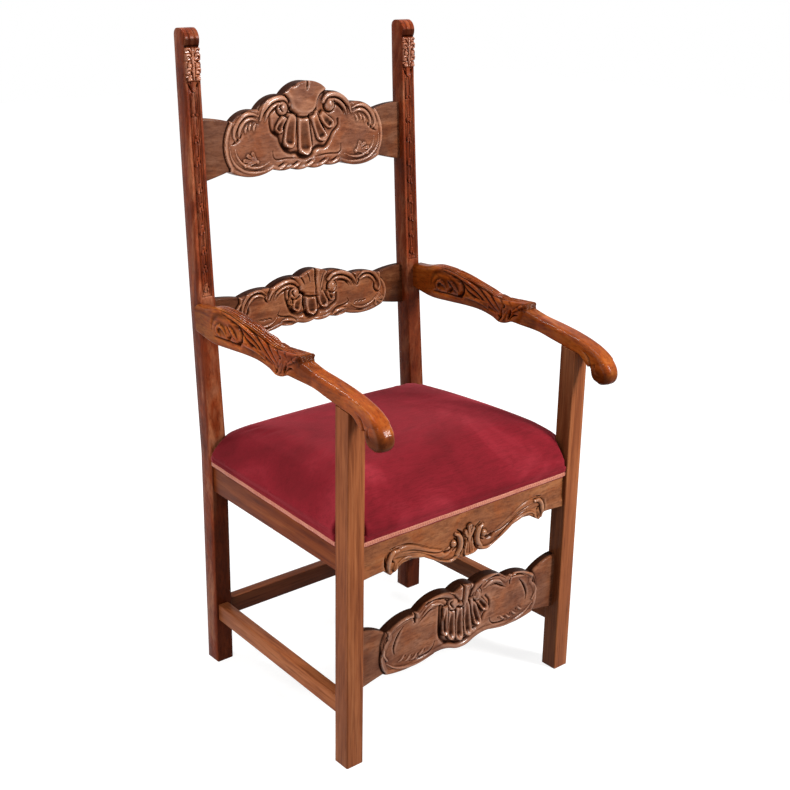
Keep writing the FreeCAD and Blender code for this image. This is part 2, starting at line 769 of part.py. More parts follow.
def arm_body():
    tops = [(y * arm_run, z * arm_rise + arm_datum) for y, z in arm_top_shares]
    lows = arm_low_points()
    sections = []
    for top, low, share in zip(tops, lows, arm_width_shares):
        low_round = arm_tip_round if low[0] < knob_reach / 2 else arm_foot_round
        sections.append(arm_section(top, low, share, low_round))
    return Part.makeLoft(sections, True, True)


def arm():
    """The right arm, fitted to the post's swept face and mortised over the leg's stub."""
    face = post_profile()
    face.translate(at(post_in_x - overrun, 0, 0))
    behind = face.extrude(at(post_width + 2 * overrun, 0, 0))
    body = arm_body().cut(behind)
    body = body.fuse(arm_tenon(0)).removeSplitter()
    return body.cut(leg_tenon(joint_clearance)).Solids[0]


def block_z():
    top = rail_top_front - block_drop
    return top - block_height, top


def rail_inner_x(y):
    """The inner face of the right side rail."""
    share = (y - leg_back_y) / side_run
    return rail_out_front_x + share * (rail_out_rear_x - rail_out_front_x) - rail_thickness


def corner_block(points):
    low, high = block_z()
    solid = polygon([at(x, y, low) for x, y in points]).extrude(at(0, 0, high - low))
    return solid.cut(all_screw_paths(screw_clearance)).Solids[0]


def front_block_points():
    far = leg_back_y + block_reach
    return [(leg_in_x - block_reach, front_rail_back_y), (leg_in_x, front_rail_back_y),
            (leg_in_x, leg_back_y), (rail_inner_x(leg_back_y), leg_back_y), (rail_inner_x(far), far)]


def rear_block_points():
    far = post_front_y - block_reach
    return [(post_in_x - block_reach, rear_rail_y), (post_in_x, rear_rail_y),
            (post_in_x, post_front_y), (rail_inner_x(post_front_y), post_front_y), (rail_inner_x(far), far)]


def screw(head_place, direction, extra, run_out):
    """A screw from its head's top along its direction, with a way in for the driver when run_out."""
    shank = Part.makeCylinder(screw_radius + extra, screw_length + extra, head_place, direction)
    head = Part.makeCylinder(screw_head_radius + extra, screw_head_height + extra, head_place, direction)
    solid = shank.fuse(head)
    if run_out:
        back = head_place - direction * block_reach
        solid = solid.fuse(Part.makeCylinder(screw_head_radius + extra, block_reach, back, direction))
    return solid.removeSplitter()


def screw_places():
    """Head places and directions of the right side's four screws."""
    low, high = block_z()
    third = (high - low) / 3
    mid_x_front = leg_in_x - block_reach / 3
    mid_x_rear = post_in_x - block_reach / 3
    front_far = leg_back_y + block_reach / 3
    rear_far = post_front_y - block_reach / 3
    places = [(at(mid_x_front, front_rail_back_y + screw_in_block, low + third), at(0, -1, 0))]
    places.append((at(rail_inner_x(front_far) - screw_in_block, front_far, high - third), at(1, 0, 0)))
    places.append((at(mid_x_rear, rear_rail_y - screw_in_block, low + third), at(0, 1, 0)))
    places.append((at(rail_inner_x(rear_far) - screw_in_block, rear_far, high - third), at(1, 0, 0)))
    return places


def block_screws(extra):
    return [screw(place, direction, extra, False) for place, direction in screw_places()]


def all_screws(extra):
    right = block_screws(extra)
    return right + [mirrored(solid) for solid in right]


def all_screw_paths(extra):
    return [screw(place, direction, extra, True) for place, direction in screw_places()]


def spaced(count, low, high):
    step = (high - low) / count
    return [low + step * (index + 0.5) for index in range(count)]


def lengthwise_web(x):
    """A web from the front rail to the rear rail, over the crosswise webs."""
    low = rail_top_front
    lift = web_thickness
    front = front_rail_y + web_edge
    rear = rear_rail_back_y - web_edge
    step_in = front_rail_back_y - front
    dip = step_in * web_dip_share
    levels = [(front, 0), (front + step_in, 0), (front + dip, 1), (rear - dip, 1)]
    levels += [(rear - step_in, 0), (rear, 0)]
    under = [at(x - web_width / 2, y, low + level * lift) for y, level in levels]
    over = [at(point.x, point.y, point.z + lift) for point in reversed(under)]
    return polygon(under + over).extrude(at(web_width, 0, 0))


def crosswise_web(y):
    """A web from side rail to side rail, lying on their tops."""
    share = (y - leg_back_y) / side_run
    reach = rail_out_front_x + share * (rail_out_rear_x - rail_out_front_x) - web_edge
    ys = (y - web_width / 2, y + web_width / 2)
    return box((-reach, reach), ys, (rail_top_front, rail_top_front + web_thickness))


def lengthwise_places():
    return spaced(web_count, -post_in_x, post_in_x)


def crosswise_places():
    return spaced(web_count, leg_back_y + web_side_room, post_front_y - web_side_room)


def tack(x, y, extra):
    top = rail_top_front + web_thickness
    head = Part.makeCylinder(tack_head_radius + extra, tack_head_height + extra, at(x, y, top))
    shank = Part.makeCylinder(tack_radius + extra, tack_length + extra, at(x, y, top - tack_length))
    return head.fuse(shank)


def webbing_tacks(extra):
    """Tacks through the ends of every web into the rails."""
    tacks = []
    front = front_rail_y + web_edge + tack_inset
    rear = rear_rail_back_y - web_edge - tack_inset
    for x in lengthwise_places():
        for side in (-1, 1):
            for y in (front, rear):
                tacks.append(tack(x + side * tack_spacing, y, extra))
    for y in crosswise_places():
        share = (y - leg_back_y) / side_run
        reach = rail_out_front_x + share * (rail_out_rear_x - rail_out_front_x) - web_edge - tack_inset
        for side in (-1, 1):
            for x in (-reach, reach):
                tacks.append(tack(x, y + side * tack_spacing, extra))
    return [on_deck(solid) for solid in tacks]


def webbing(make, places):
    holes = webbing_tacks(tack_clearance)
    webs = [on_deck(make(place)).cut(holes).Solids[0] for place in places]
    return Part.makeCompound(webs)


def seat_corners(inset, z):
    """The seat's plan at a height: wider at the front, between the rails' outer faces."""
    slope = (rail_out_front_x - rail_out_rear_x) / side_run
    front = front_rail_y + inset
    rear = rear_rail_back_y - inset
    front_x = rail_out_front_x + (leg_back_y - front_rail_y) * slope - inset
    rear_x = rail_out_rear_x - (rear_rail_back_y - post_front_y) * slope - inset
    return [at(-front_x, front, z), at(front_x, front, z), at(rear_x, rear, z), at(-rear_x, rear, z)]


def seat_corner_pieces(gap):
    """Room for the legs and posts at the seat's corners."""
    z = (0, rail_top_front + 2 * crown_height)
    leg = box((leg_in_x - gap, leg_out_x + overrun), (front_y - overrun, leg_back_y + gap), z)
    post = box((post_in_x - gap, post_out_x + overrun), (post_front_y - gap, post_back_y + overrun), z)
    return [leg, mirrored(leg), post, mirrored(post)]


def crown(extra, skirt):
    """The domed seat, grown by the cover's thickness, with a straight skirt below the rails' top."""
    sections = []
    if skirt > 0:
        corners = seat_corners(-extra, rail_top_front - skirt)
        sections.append(rounded_wire(corners, [seat_corner_round] * 4))
    for inset_share, height_share in zip(seat_inset_shares, seat_height_shares):
        inset = crown_plateau * inset_share
        rise = (crown_height + extra) * height_share
        radius = min(seat_corner_round + max(inset, 0) * crown_corner_share, crown_corner_limit)
        corners = [fuller(corner, rise) for corner in seat_corners(inset - extra, rail_top_front)]
        sections.append(rounded_wire(corners, [radius] * 4))
    return on_deck(Part.makeLoft(sections, True, True))


def fuller(corner, rise):
    """A section's corner lifted by its rise, more at the seat's front than at its back."""
    middle = (front_rail_y + rear_rail_back_y) / 2
    share = (middle - corner.y) / (middle - front_rail_y)
    return at(corner.x, corner.y, corner.z + rise * (1 + crown_front_share * share))


def deck_lift():
    """The height of the base cloth's top over the rails."""
    return 2 * web_thickness + cloth_thickness


def base_cloth():
    """The cloth that lies over the webbing and carries the stuffing."""
    bottom = rail_top_front + 2 * web_thickness
    corners = seat_corners(web_edge, bottom)
    face = Part.Face(rounded_wire(corners, [seat_corner_round] * 4))
    sheet = on_deck(face.extrude(at(0, 0, cloth_thickness)))
    return sheet.cut(seat_corner_pieces(cover_gap + cover_thickness)).Solids[0]


def stuffing():
    body = crown(0, 0).common(above_deck(deck_lift()))
    return body.cut(seat_corner_pieces(cover_gap + cover_thickness)).Solids[0]


def cover():
    """The fitted cover: a skin over the stuffing with a skirt down the rails' outer faces."""
    body = crown(cover_thickness, cover_lap).cut(seat_corner_pieces(cover_gap))
    hollow = crown(0, 0).cut(seat_corner_pieces(cover_gap + cover_thickness))
    core = Part.Face(rounded_wire(seat_corners(0, rail_top_front), [seat_corner_round] * 4))
    core = on_deck(core.extrude(at(0, 0, -cover_lap - overrun)))
    return body.cut([hollow, core]).Solids[0]


def braid(first, second, skin):
    """A flat band on the cover's skirt along one side of the seat."""
    corners = seat_corners(-cover_thickness, rail_top_front - cover_lap - braid_lap)
    start = corners[first]
    end = corners[second]
    along = (end - start).normalize()
    out = at(along.y, -along.x, 0) * braid_thickness
    strip = on_deck(polygon([start, end, end + out, start + out]).extrude(at(0, 0, braid_width)))
    strip = strip.cut([skin] + seat_corner_pieces(cover_gap))
    return max(strip.Solids, key=lambda solid: solid.Volume)


def main():
    save_pair("rear_post", rear_post)
    save_pair("front_leg", front_leg)
    save_pair("side_rail", side_rail)
    save("front_seat_rail", front_rail())
    save("rear_seat_rail", rear_rail())
    save_pair("side_stretcher", side_stretcher)
    save("rear_stretcher", rear_stretcher())
    save("front_stretcher_board", front_board())
    save("crest_rail", back_board(crest_foot, crest_height, crest_thickness, crest_top_shares,
                                  crest_foot_shares, crest_tenon(0)))
    save("lower_back_rail", back_board(mid_foot, mid_height, mid_thickness, mid_top_shares,
                                       mid_foot_shares, mid_tenon(0)))
    save_pair("arm", arm)
    save_pair("front_corner_block", lambda: corner_block(front_block_points()))
    save_pair("rear_corner_block", lambda: corner_block(rear_block_points()))
    save("corner_block_screws", Part.makeCompound(all_screws(0)))
    save("lengthwise_webbing", webbing(lengthwise_web, lengthwise_places()))
    save("crosswise_webbing", webbing(crosswise_web, crosswise_places()))
    save("webbing_tacks", Part.makeCompound(webbing_tacks(0)))
    save("seat_base_cloth", base_cloth())
    save("seat_stuffing", stuffing())
    skin = cover()
    save("velvet_cover", skin)
    save("front_braid", braid(0, 1, skin))
    save("right_braid", braid(1, 2, skin))
    save("rear_braid", braid(2, 3, skin))
    save("left_braid", braid(3, 0, skin))


main()
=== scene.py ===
import bmesh
import bpy
import math
import numpy as np
from mathutils import Matrix, Vector

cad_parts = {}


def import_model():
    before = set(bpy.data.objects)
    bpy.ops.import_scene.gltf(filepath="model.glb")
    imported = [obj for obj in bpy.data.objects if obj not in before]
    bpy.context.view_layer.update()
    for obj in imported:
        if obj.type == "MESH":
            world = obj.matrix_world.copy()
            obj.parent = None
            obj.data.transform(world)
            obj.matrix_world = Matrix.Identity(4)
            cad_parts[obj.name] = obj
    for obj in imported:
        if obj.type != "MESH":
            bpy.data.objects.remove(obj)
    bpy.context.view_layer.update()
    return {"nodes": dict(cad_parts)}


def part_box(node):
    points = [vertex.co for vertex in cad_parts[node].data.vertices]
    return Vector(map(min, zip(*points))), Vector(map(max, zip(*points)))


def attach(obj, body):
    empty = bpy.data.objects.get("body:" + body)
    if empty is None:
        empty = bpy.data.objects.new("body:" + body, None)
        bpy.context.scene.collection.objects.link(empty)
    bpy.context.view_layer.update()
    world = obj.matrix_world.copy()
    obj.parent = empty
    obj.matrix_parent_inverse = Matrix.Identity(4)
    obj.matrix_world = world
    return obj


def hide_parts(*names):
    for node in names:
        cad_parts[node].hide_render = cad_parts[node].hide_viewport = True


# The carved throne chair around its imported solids. Lengths in the functions are millimetres, and
# every mesh is written in metres. X is to the viewer's right, the back is towards +Y, +Z is up.
MM = 0.001

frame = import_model()


def node_box(node):
    """A node's lowest and highest corner in millimetres."""
    low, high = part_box(node)
    return np.array(low) / MM, np.array(high) / MM


LEG_LOW, LEG_HIGH = node_box("right_front_leg")
POST_LOW, POST_HIGH = node_box("right_rear_post")
BOARD_BACK = node_box("front_stretcher_board")[1][1]
RAIL_BACK, RAIL_TOP = node_box("front_seat_rail")[1][1:]

SEAT_FRONT = LEG_LOW[1]
LEG_IN = LEG_LOW[0]
POST_IN = POST_LOW[0]
POST_OUT = POST_HIGH[0]
POST_FRONT = POST_LOW[1]
POST_DEPTH = 38.0
POST_BACK = POST_FRONT + POST_DEPTH
POST_TOP = POST_HIGH[2]
POST_KINK = 455.0
POST_SWEEP = 50.0
POST_FRONT_TAPER = 4.0
POST_SIDE_TAPER = 5.0
SWEEP_MID_SHARE = 0.545
SWEEP_HEIGHT_SHARE = 0.475
BACK_ROUND = 12.0
SEAT_MIDDLE = 15.0


# ---- plane curves ----

def circle_through(a, b, c):
    """Centre and radius of the circle through three points of a plane."""
    ax, ay = a
    bx, by = b
    cx, cy = c
    turn = 2 * (ax * (by - cy) + bx * (cy - ay) + cx * (ay - by))
    a2, b2, c2 = ax * ax + ay * ay, bx * bx + by * by, cx * cx + cy * cy
    x = (a2 * (by - cy) + b2 * (cy - ay) + c2 * (ay - by)) / turn
    y = (a2 * (cx - bx) + b2 * (ax - cx) + c2 * (bx - ax)) / turn
    return x, y, math.hypot(ax - x, ay - y)


def arc_points(a, b, c, count):
    """Points along the arc from a through b to c."""
    x, y, radius = circle_through(a, b, c)
    start, middle, end = (math.atan2(p[1] - y, p[0] - x) for p in (a, b, c))
    span = (end - start) % (2 * math.pi)
    if (middle - start) % (2 * math.pi) > span:
        span -= 2 * math.pi
    angles = start + span * np.linspace(0, 1, count)
    return np.stack([x + radius * np.cos(angles), y + radius * np.sin(angles)], 1)


def spline(points, count=40):
    """A smooth line through given points."""
    knots = np.array(points, float)
    padded = np.vstack([2 * knots[0] - knots[1], knots, 2 * knots[-1] - knots[-2]])
    place = np.linspace(0, len(knots) - 1, count)
    index = np.minimum(place.astype(int), len(knots) - 2)
    t = (place - index)[:, None]
    p0, p1, p2, p3 = (padded[index + k] for k in range(4))
    return 0.5 * (2 * p1 + (p2 - p0) * t + (2 * p0 - 5 * p1 + 4 * p2 - p3) * t ** 2
                  + (3 * p1 - p0 - 3 * p2 + p3) * t ** 3)


def curl(x, z, outer, inner, start, turn, count=36):
    """A spiral round an eye: from one radius and angle in degrees, turning to another radius."""
    angles = np.radians(start + turn * np.linspace(0, 1, count))
    radii = outer + (inner - outer) * np.linspace(0, 1, count)
    return np.stack([x + radii * np.cos(angles), z + radii * np.sin(angles)], 1)


def smooth(value):
    """An eased step from 0 to 1."""
    value = np.clip(value, 0, 1)
    return value * value * (3 - 2 * value)


def between(value, low, rise, high, fall):
    """One between two limits, easing in past the lower one and out before the higher one."""
    return smooth((value - low) / rise) * smooth((high - value) / fall)


def rounded(share):
    """A round hump's height at shares of its half width."""
    return np.sqrt(np.clip(1 - share ** 2, 0, 1))


def sweep_circle(reach):
    top = POST_TOP - BACK_ROUND
    middle = POST_KINK + (top - POST_KINK) * SWEEP_HEIGHT_SHARE
    return circle_through((0, POST_KINK), (reach * SWEEP_MID_SHARE, middle), (reach, top))


BACK_SWEEP = sweep_circle(POST_SWEEP)
FRONT_SWEEP = sweep_circle(POST_SWEEP + POST_FRONT_TAPER)


def sweep_at(z, circle):
    """How far back a post's face stands at a height."""
    y, centre, radius = circle
    z = np.maximum(z, POST_KINK)
    return y - math.copysign(1, y) * np.sqrt(radius ** 2 - (z - centre) ** 2)


# ---- relief carving on a plane ----

def distance(x, z, path):
    """Distance from each place to a line, and how far along the line its nearest point is."""
    best = np.full(x.shape, 1e9)
    along = np.zeros(x.shape)
    steps = np.hypot(*(path[1:] - path[:-1]).T)
    travelled = np.concatenate([[0], np.cumsum(steps)])
    for index, step in enumerate(steps):
        (ax, az), (bx, bz) = path[index], path[index + 1]
        t = np.clip(((x - ax) * (bx - ax) + (z - az) * (bz - az)) / max(step ** 2, 1e-9), 0, 1)
        far = np.hypot(x - ax - t * (bx - ax), z - az - t * (bz - az))
        closer = far < best
        best = np.where(closer, far, best)
        along = np.where(closer, (travelled[index] + t * step) / travelled[-1], along)
    return best, along


def swell(along, start, end):
    """A stroke's thickness along it, thinning to these shares at its two ends."""
    first, last = smooth(along / 0.35), smooth((1 - along) / 0.35)
    return (start + (1 - start) * first) * (end + (1 - end) * last)


# Painted shade laid in a flute's scoop, for each millimetre of its depth
SCOOP_SHADE = 0.032


class Relief:
    """Heights over a grid of places, built up stroke by stroke like carving.

    A stroke's points are given points of a smooth line, or a ready line as an array.
    """

    def __init__(self, x, z):
        self.x = x
        self.z = z
        self.ground = np.zeros(x.shape)
        self.height = np.zeros(x.shape)
        # Painted shade that some strokes leave in what they cut
        self.painted_shade = np.zeros(x.shape)

    def near(self, path, reach):
        low, high = path.min(0) - reach, path.max(0) + reach
        return (self.x > low[0]) & (self.x < high[0]) & (self.z > low[1]) & (self.z < high[1])

    def stroke(self, points, width, reach, start, end):
        """The places a stroke reaches, their distance from it in half widths, and its thickness there."""
        path = points if isinstance(points, np.ndarray) else spline(points)
        mask = self.near(path, reach)
        far, along = distance(self.x[mask], self.z[mask], path)
        thick = swell(along, start, end)
        return mask, far / (width * thick), thick

    def ridge(self, points, width, rise, start=0.3, end=0.3):
        """A rounded stroke that stands up; width is its half width."""
        mask, share, thick = self.stroke(points, width, width, start, end)
        lift = rise * thick ** 0.5 * rounded(share)
        self.height[mask] = np.maximum(self.height[mask], self.ground[mask] + lift)

    def groove(self, points, width, depth, start=0.2, end=0.2):
        """A gouged stroke."""
        mask, share, thick = self.stroke(points, width, 3 * width, start, end)
        self.height[mask] -= depth * thick * np.exp(-share ** 2)

    def raise_to(self, inside, lift, painted_shade):
        self.height = np.where(inside, np.maximum(self.height, self.ground + lift), self.height)
        self.painted_shade = np.where(inside, painted_shade, self.painted_shade)

    def dome(self, middle, radius, rise, stretch=1.0):
        """A round boss."""
        far = np.hypot(self.x - middle[0], (self.z - middle[1]) / stretch) / radius
        self.raise_to(far < 1, rise * rounded(far), 0)

    def petal(self, root, tip, root_width, tip_width, rise, hollow):
        """A flute from its root to its rounded tip, with a hollow along its middle that takes a painted shade.
        """
        axis = np.subtract(tip, root)
        length = math.hypot(*axis)
        axis = axis / length
        dx = self.x - root[0]
        dz = self.z - root[1]
        along = (dx * axis[0] + dz * axis[1]) / length
        across = np.abs(dx * axis[1] - dz * axis[0])
        half = root_width + (tip_width - root_width) * np.clip(along, 0, 1) ** 1.3
        over = np.clip((along - (1 - tip_width / length)) * length / tip_width, 0, 1)
        share = across / (half * rounded(over) + 1e-6)
        shape = np.clip(1 - share ** 6, 0, 1) ** 0.5
        scoop = hollow * (1 - np.clip(share, 0, 1) ** 2) * smooth(along * 1.6) * smooth((1 - along) * 5)
        lift = (rise * (0.75 + 0.25 * np.clip(along, 0, 1)) - scoop) * shape
        inside = (share < 1) & (along > 0) & (along < 1)
        self.raise_to(inside, lift, np.maximum(self.painted_shade, SCOOP_SHADE * scoop))

    def plateau(self, outline, rise, ease, crown):
        """A raised form inside a closed line, with rounded edges and a crowned middle."""
        path = np.array(outline + [outline[0]], float)
        mask = self.near(path, 0)
        x, z = self.x[mask], self.z[mask]
        inside = np.zeros(x.shape, bool)
        for (ax, az), (bx, bz) in zip(path[:-1], path[1:]):
            if az != bz:
                inside ^= ((az > z) != (bz > z)) & (x < ax + (z - az) * (bx - ax) / (bz - az))
        far, _ = distance(x, z, path)
        edge = np.clip(far / ease, 0, 1)
        lift = rise * np.sqrt(1 - (1 - edge) ** 2) + crown * smooth(far / (3 * ease))
        raised = np.maximum(self.height[mask], self.ground[mask] + lift)
        self.height[mask] = np.where(inside, raised, self.height[mask])
        self.painted_shade[mask] = np.where(inside, 0, self.painted_shade[mask])

    # The same strokes on both sides of the middle

    def ridges(self, points, *sizes):
        for side in (1, -1):
            self.ridge(spline(points) * np.array([side, 1]), *sizes)

    def grooves(self, points, *sizes):
        for side in (1, -1):
            self.groove(spline(points) * np.array([side, 1]), *sizes)

    def domes(self, middle, *sizes):
        for side in (1, -1):
            self.dome((side * middle[0], middle[1]), *sizes)

    def petals(self, root, tip, *sizes):
        for side in (1, -1):
            self.petal((side * root[0], root[1]), (side * tip[0], tip[1]), *sizes)


def blurred(values, passes):
    for _ in range(passes):
        wide = np.pad(values, 1, mode="edge")
        values = (wide[:-2, 1:-1] + wide[2:, 1:-1] + wide[1:-1, :-2] + wide[1:-1, 2:] + 2 * values) / 6
    return values


def hollowness(height, passes=14, scale=1.1):
    """How deep each place lies under its surroundings, from about -1 on a ridge to 1 in a cut."""
    return np.clip((blurred(height, passes) - height) / scale, -1, 1)


def tooled(x, z, size=9.0, depth=0.16):
    """The faint unevenness that a carver's gouge leaves."""
    wave = np.sin(x / size * 2.1 + 1.7 * np.sin(z / size)) * np.sin(z / size * 1.7 + 1.3 * np.sin(x / size))
    fine = np.sin(x * 0.83 + 2 * np.sin(z * 0.31)) * np.sin(z * 0.71 + 2 * np.sin(x * 0.27))
    return depth * (wave + 0.35 * fine)


# ---- pieces ----

def placed(name, data):
    """A new object in the scene."""
    obj = bpy.data.objects.new(name, data)
    bpy.context.scene.collection.objects.link(obj)
    return obj


def piece(name, points, faces, look, nodes=(), hollow=None, sharp=None):
    """A mesh in millimetres becomes a piece; its edges over an angle in degrees stay sharp."""
    mesh = bpy.data.meshes.new(name)
    mesh.from_pydata((np.reshape(points, (-1, 3)) * MM).tolist(), [], faces)
    mesh.validate()
    mesh.shade_smooth()
    if hollow is not None:
        data = mesh.attributes.new("hollow", "FLOAT", "POINT")
        data.data.foreach_set("value", np.asarray(hollow, np.float32).ravel())
    outwards = bmesh.new()
    outwards.from_mesh(mesh)
    bmesh.ops.recalc_face_normals(outwards, faces=outwards.faces)
    outwards.to_mesh(mesh)
    outwards.free()
    if sharp is not None:
        mesh.set_sharp_from_angle(angle=math.radians(sharp))
    return dress(placed(name, mesh), look, nodes)


def tube_faces(rings, size, base=0):
    """Quads between rings of points, with a face on each end."""
    faces = []
    for low in range(base, base + (rings - 1) * size, size):
        for k in range(size):
            n = (k + 1) % size
            faces.append((low + k, low + n, low + size + n, low + size + k))
    last = base + (rings - 1) * size
    return faces + [tuple(reversed(range(base, base + size))), tuple(range(last, last + size))]


def carved_pair(name, points, hollow, look, sharp):
    """The right one of two carved members, and its mirror image on the left."""
    faces = tube_faces(*points.shape[:2])
    for side, flip in (("right_", 1), ("left_", -1)):
        shape = points * np.array([flip, 1, 1])
        piece("carved_" + side + name, shape, faces, look, (side + name,), hollow, sharp)


# ---- materials ----

def srgb(red, green, blue):
    """A colour as it looks on a screen, made linear."""
    parts = [value / 255 for value in (red, green, blue)]
    return tuple(v / 12.92 if v <= 0.04045 else ((v + 0.055) / 1.055) ** 2.4 for v in parts) + (1,)


class Nodes:
    """A short way to write a node tree. A socket takes a value or another node's result."""

    def __init__(self, owner):
        owner.use_nodes = True
        self.owner = owner
        self.tree = owner.node_tree
        self.shader = self.tree.nodes.get("Principled BSDF")

    def feed(self, node, sockets):
        for socket, value in sockets.items():
            if hasattr(value, "is_output"):
                self.tree.links.new(value, node.inputs[socket])
            else:
                node.inputs[socket].default_value = value

    def add(self, kind, sockets=None, **settings):
        node = self.tree.nodes.new("ShaderNode" + kind)
        for key, value in settings.items():
            setattr(node, key, value)
        self.feed(node, sockets or {})
        return node

    def finish(self, **sockets):
        """Sets the shader's sockets, and gives the finished material."""
        self.feed(self.shader, {key.replace("_", " "): value for key, value in sockets.items()})
        return self.owner

    def place(self, stretch):
        """Object coordinates, stretched."""
        coordinates = self.add("TexCoord").outputs["Object"]
        return self.add("Mapping", {"Scale": stretch, "Vector": coordinates}).outputs["Vector"]

    def noise(self, scale, stretch=(1, 1, 1), detail=4.0, rough=0.55, twist=0.0):
        sockets = {"Scale": scale, "Detail": detail, "Roughness": rough, "Distortion": twist}
        return self.add("TexNoise", {**sockets, "Vector": self.place(stretch)}).outputs["Fac"]

    def ramp(self, source, stops):
        node = self.add("ValToRGB", {"Fac": source})
        band = node.color_ramp
        while len(band.elements) < len(stops):
            band.elements.new(0.5)
        for element, (place, colour) in zip(band.elements, stops):
            element.position = place
            element.color = colour
        return node.outputs["Color"]

    def mix(self, factor, first, second, blend="MIX"):
        sockets = {0: factor, 6: first, 7: second}
        return self.add("Mix", sockets, data_type="RGBA", blend_type=blend).outputs[2]

    def tinted(self, share, colour, source, stops):
        """A colour multiplied by a pattern's tints."""
        return self.mix(share, colour, self.ramp(source, stops), "MULTIPLY")

    def math(self, operation, *values):
        return self.add("Math", dict(enumerate(values)), operation=operation).outputs[0]

    def raised(self, source):
        """The part of a value above zero."""
        return self.math("MAXIMUM", source, 0.0)

    def bump(self, source, strength, length, under=None):
        sockets = {"Strength": strength, "Distance": length, "Height": source}
        if under is not None:
            sockets["Normal"] = under
        return self.add("Bump", sockets).outputs["Normal"]

    def attribute(self, name):
        return self.add("Attribute", attribute_name=name).outputs["Fac"]


WHITE = (1, 1, 1, 1)
# The dark of dirt in carved cuts, also used for painted shade
CUT_DIRT_AND_SHADE = (30, 12, 7)

# Each wood's dark, main and light shade as seen on a screen, the axis of its grain, its roughness and
# its coat of varnish, then what sets it apart
WOODS = {
    "carved_wood": ((94, 48, 30), (138, 87, 61), (182, 128, 98), "x", 0.38, 0.50, {"carved": True}),
    "back_wood": ((78, 38, 20), (122, 70, 42), (172, 112, 74), "x", 0.38, 0.50, {"carved": True}),
    "front_wood": ((114, 62, 32), (150, 90, 54), (174, 116, 74), "x", 0.40, 0.45, {"carved": True}),
    "post_wood": ((82, 28, 11), (131, 58, 29), (190, 124, 88), "z", 0.36, 0.60,
                  {"carved": True, "plain": 0.12}),
    "arm_wood": ((98, 38, 10), (158, 74, 20), (202, 122, 52), "y", 0.30, 0.75,
                 {"carved": True, "plain": 0.2, "blur": 0.10, "tooth": 0.12}),
    "leg_wood": ((98, 44, 20), (153, 88, 51), (188, 123, 80), "z", 0.44, 0.06, {"inner_shaded": True}),
    "rail_wood": ((70, 30, 14), (116, 58, 32), (144, 82, 50), "x", 0.44, 0.06, {"inner_shaded": True}),
    "side_wood": ((76, 26, 8), (122, 57, 23), (152, 86, 44), "y", 0.44, 0.06, {"inner_shaded": True}),
    "stretcher_wood": ((100, 46, 20), (160, 92, 54), (190, 124, 82), "y", 0.44, 0.06, {"inner_shaded": True}),
    "block_wood": ((120, 84, 52), (164, 122, 82), (190, 150, 106), "x", 0.62, 0.0, {}),
}


def grained(axis, across, along):
    """A pattern's stretch: fine across the grain, drawn out along it."""
    stretch = [across] * 3
    stretch["xyz".index(axis)] = along
    return tuple(stretch)


def wood(name, dark, main, light, grain, rough, coat, carved=False, inner_shaded=False, plain=0.25, blur=0.20,
         tooth=0.50):
    """Varnished wood; carved wood is mottled, tool-marked, and dark in its cuts with dirt and painted shade."""
    n = Nodes(bpy.data.materials.new(name))
    if carved:
        spread, streak, thread, cloud, patch = 0.30, 6.0, 50.0, 0.8, 16.0
    else:
        spread, streak, thread, cloud, patch = 0.26, 1.6, 9.0, 0.35, 9.0
    streaks = n.noise(1.0, grained(grain, 26.0, streak), 5.0, 0.62, 1.3)
    lines = n.noise(1.0, grained(grain, 230.0, thread), 3.0, 0.7)
    clouds = n.noise(patch, grained(grain, 1.0, cloud), 4.0, 0.6)
    colour = n.ramp(streaks, [(0.5 - spread, dark), (0.50, main), (0.5 + spread, light)])
    colour = n.tinted(0.75, colour, lines, [(0.34, (0.52, 0.44, 0.40, 1)), (0.52, WHITE)])
    colour = n.tinted(0.85, colour, clouds, [(0.30, (0.60, 0.50, 0.46, 1)), (0.55, WHITE),
                                             (0.75, (1.0, 0.98, 0.93, 1))])
    shine, level = coat, 0.05
    if carved:
        mottling = n.noise(23.0, (1, 1, 1), 4.0, 0.6, 0.6)
        colour = n.tinted(0.75, colour, mottling, [(0.36, (1.0, 0.80, 0.58, 1)),
                                                   (0.50, (0.92, 0.92, 0.92, 1)), (0.64, (0.86, 0.90, 1.0, 1))])
        hollow = n.attribute("hollow")
        # The cuts darken: partly dirt, partly painted shade
        cuts = n.math("MINIMUM", n.math("POWER", n.raised(hollow), 0.75), 0.95)
        colour = n.mix(cuts, colour, srgb(*CUT_DIRT_AND_SHADE))
        wear_and_highlight = n.math("MULTIPLY", n.raised(n.math("MULTIPLY", hollow, -1.0)), 0.6)
        # Ridges are lightened, partly as wear and partly as painted highlight; the same share adds coat
        colour = n.mix(wear_and_highlight, colour, light)
        whole = n.math("SUBTRACT", 1.0, cuts)
        shine = n.math("MULTIPLY", whole, n.math("MULTIPLY_ADD", wear_and_highlight, 3.2 * coat, plain * coat))
        level = n.math("MULTIPLY", whole, level)
    elif inner_shaded:
        # Painted shade on faces that look in towards the middle of the chair
        colour = n.mix(n.attribute("hollow"), colour, srgb(*CUT_DIRT_AND_SHADE))
    worn = n.noise(34.0, (1, 1, 1), 4.0, 0.6)
    gloss = n.add("MapRange", {"Value": worn, "To Min": rough - 0.09, "To Max": rough + 0.12})
    surface = n.bump(worn, 0.16, 0.0011, n.bump(lines, 0.22, 0.00035))
    if carved:
        surface = n.bump(n.noise(75.0, (1, 1, 1), 2.0, 0.5, 0.8), tooth, 0.0020, surface)
    return n.finish(Base_Color=colour, Coat_Weight=shine, Specular_IOR_Level=level, Normal=surface,
                    Roughness=gloss.outputs["Result"], IOR=1.5, Coat_Roughness=blur, Coat_IOR=1.5)


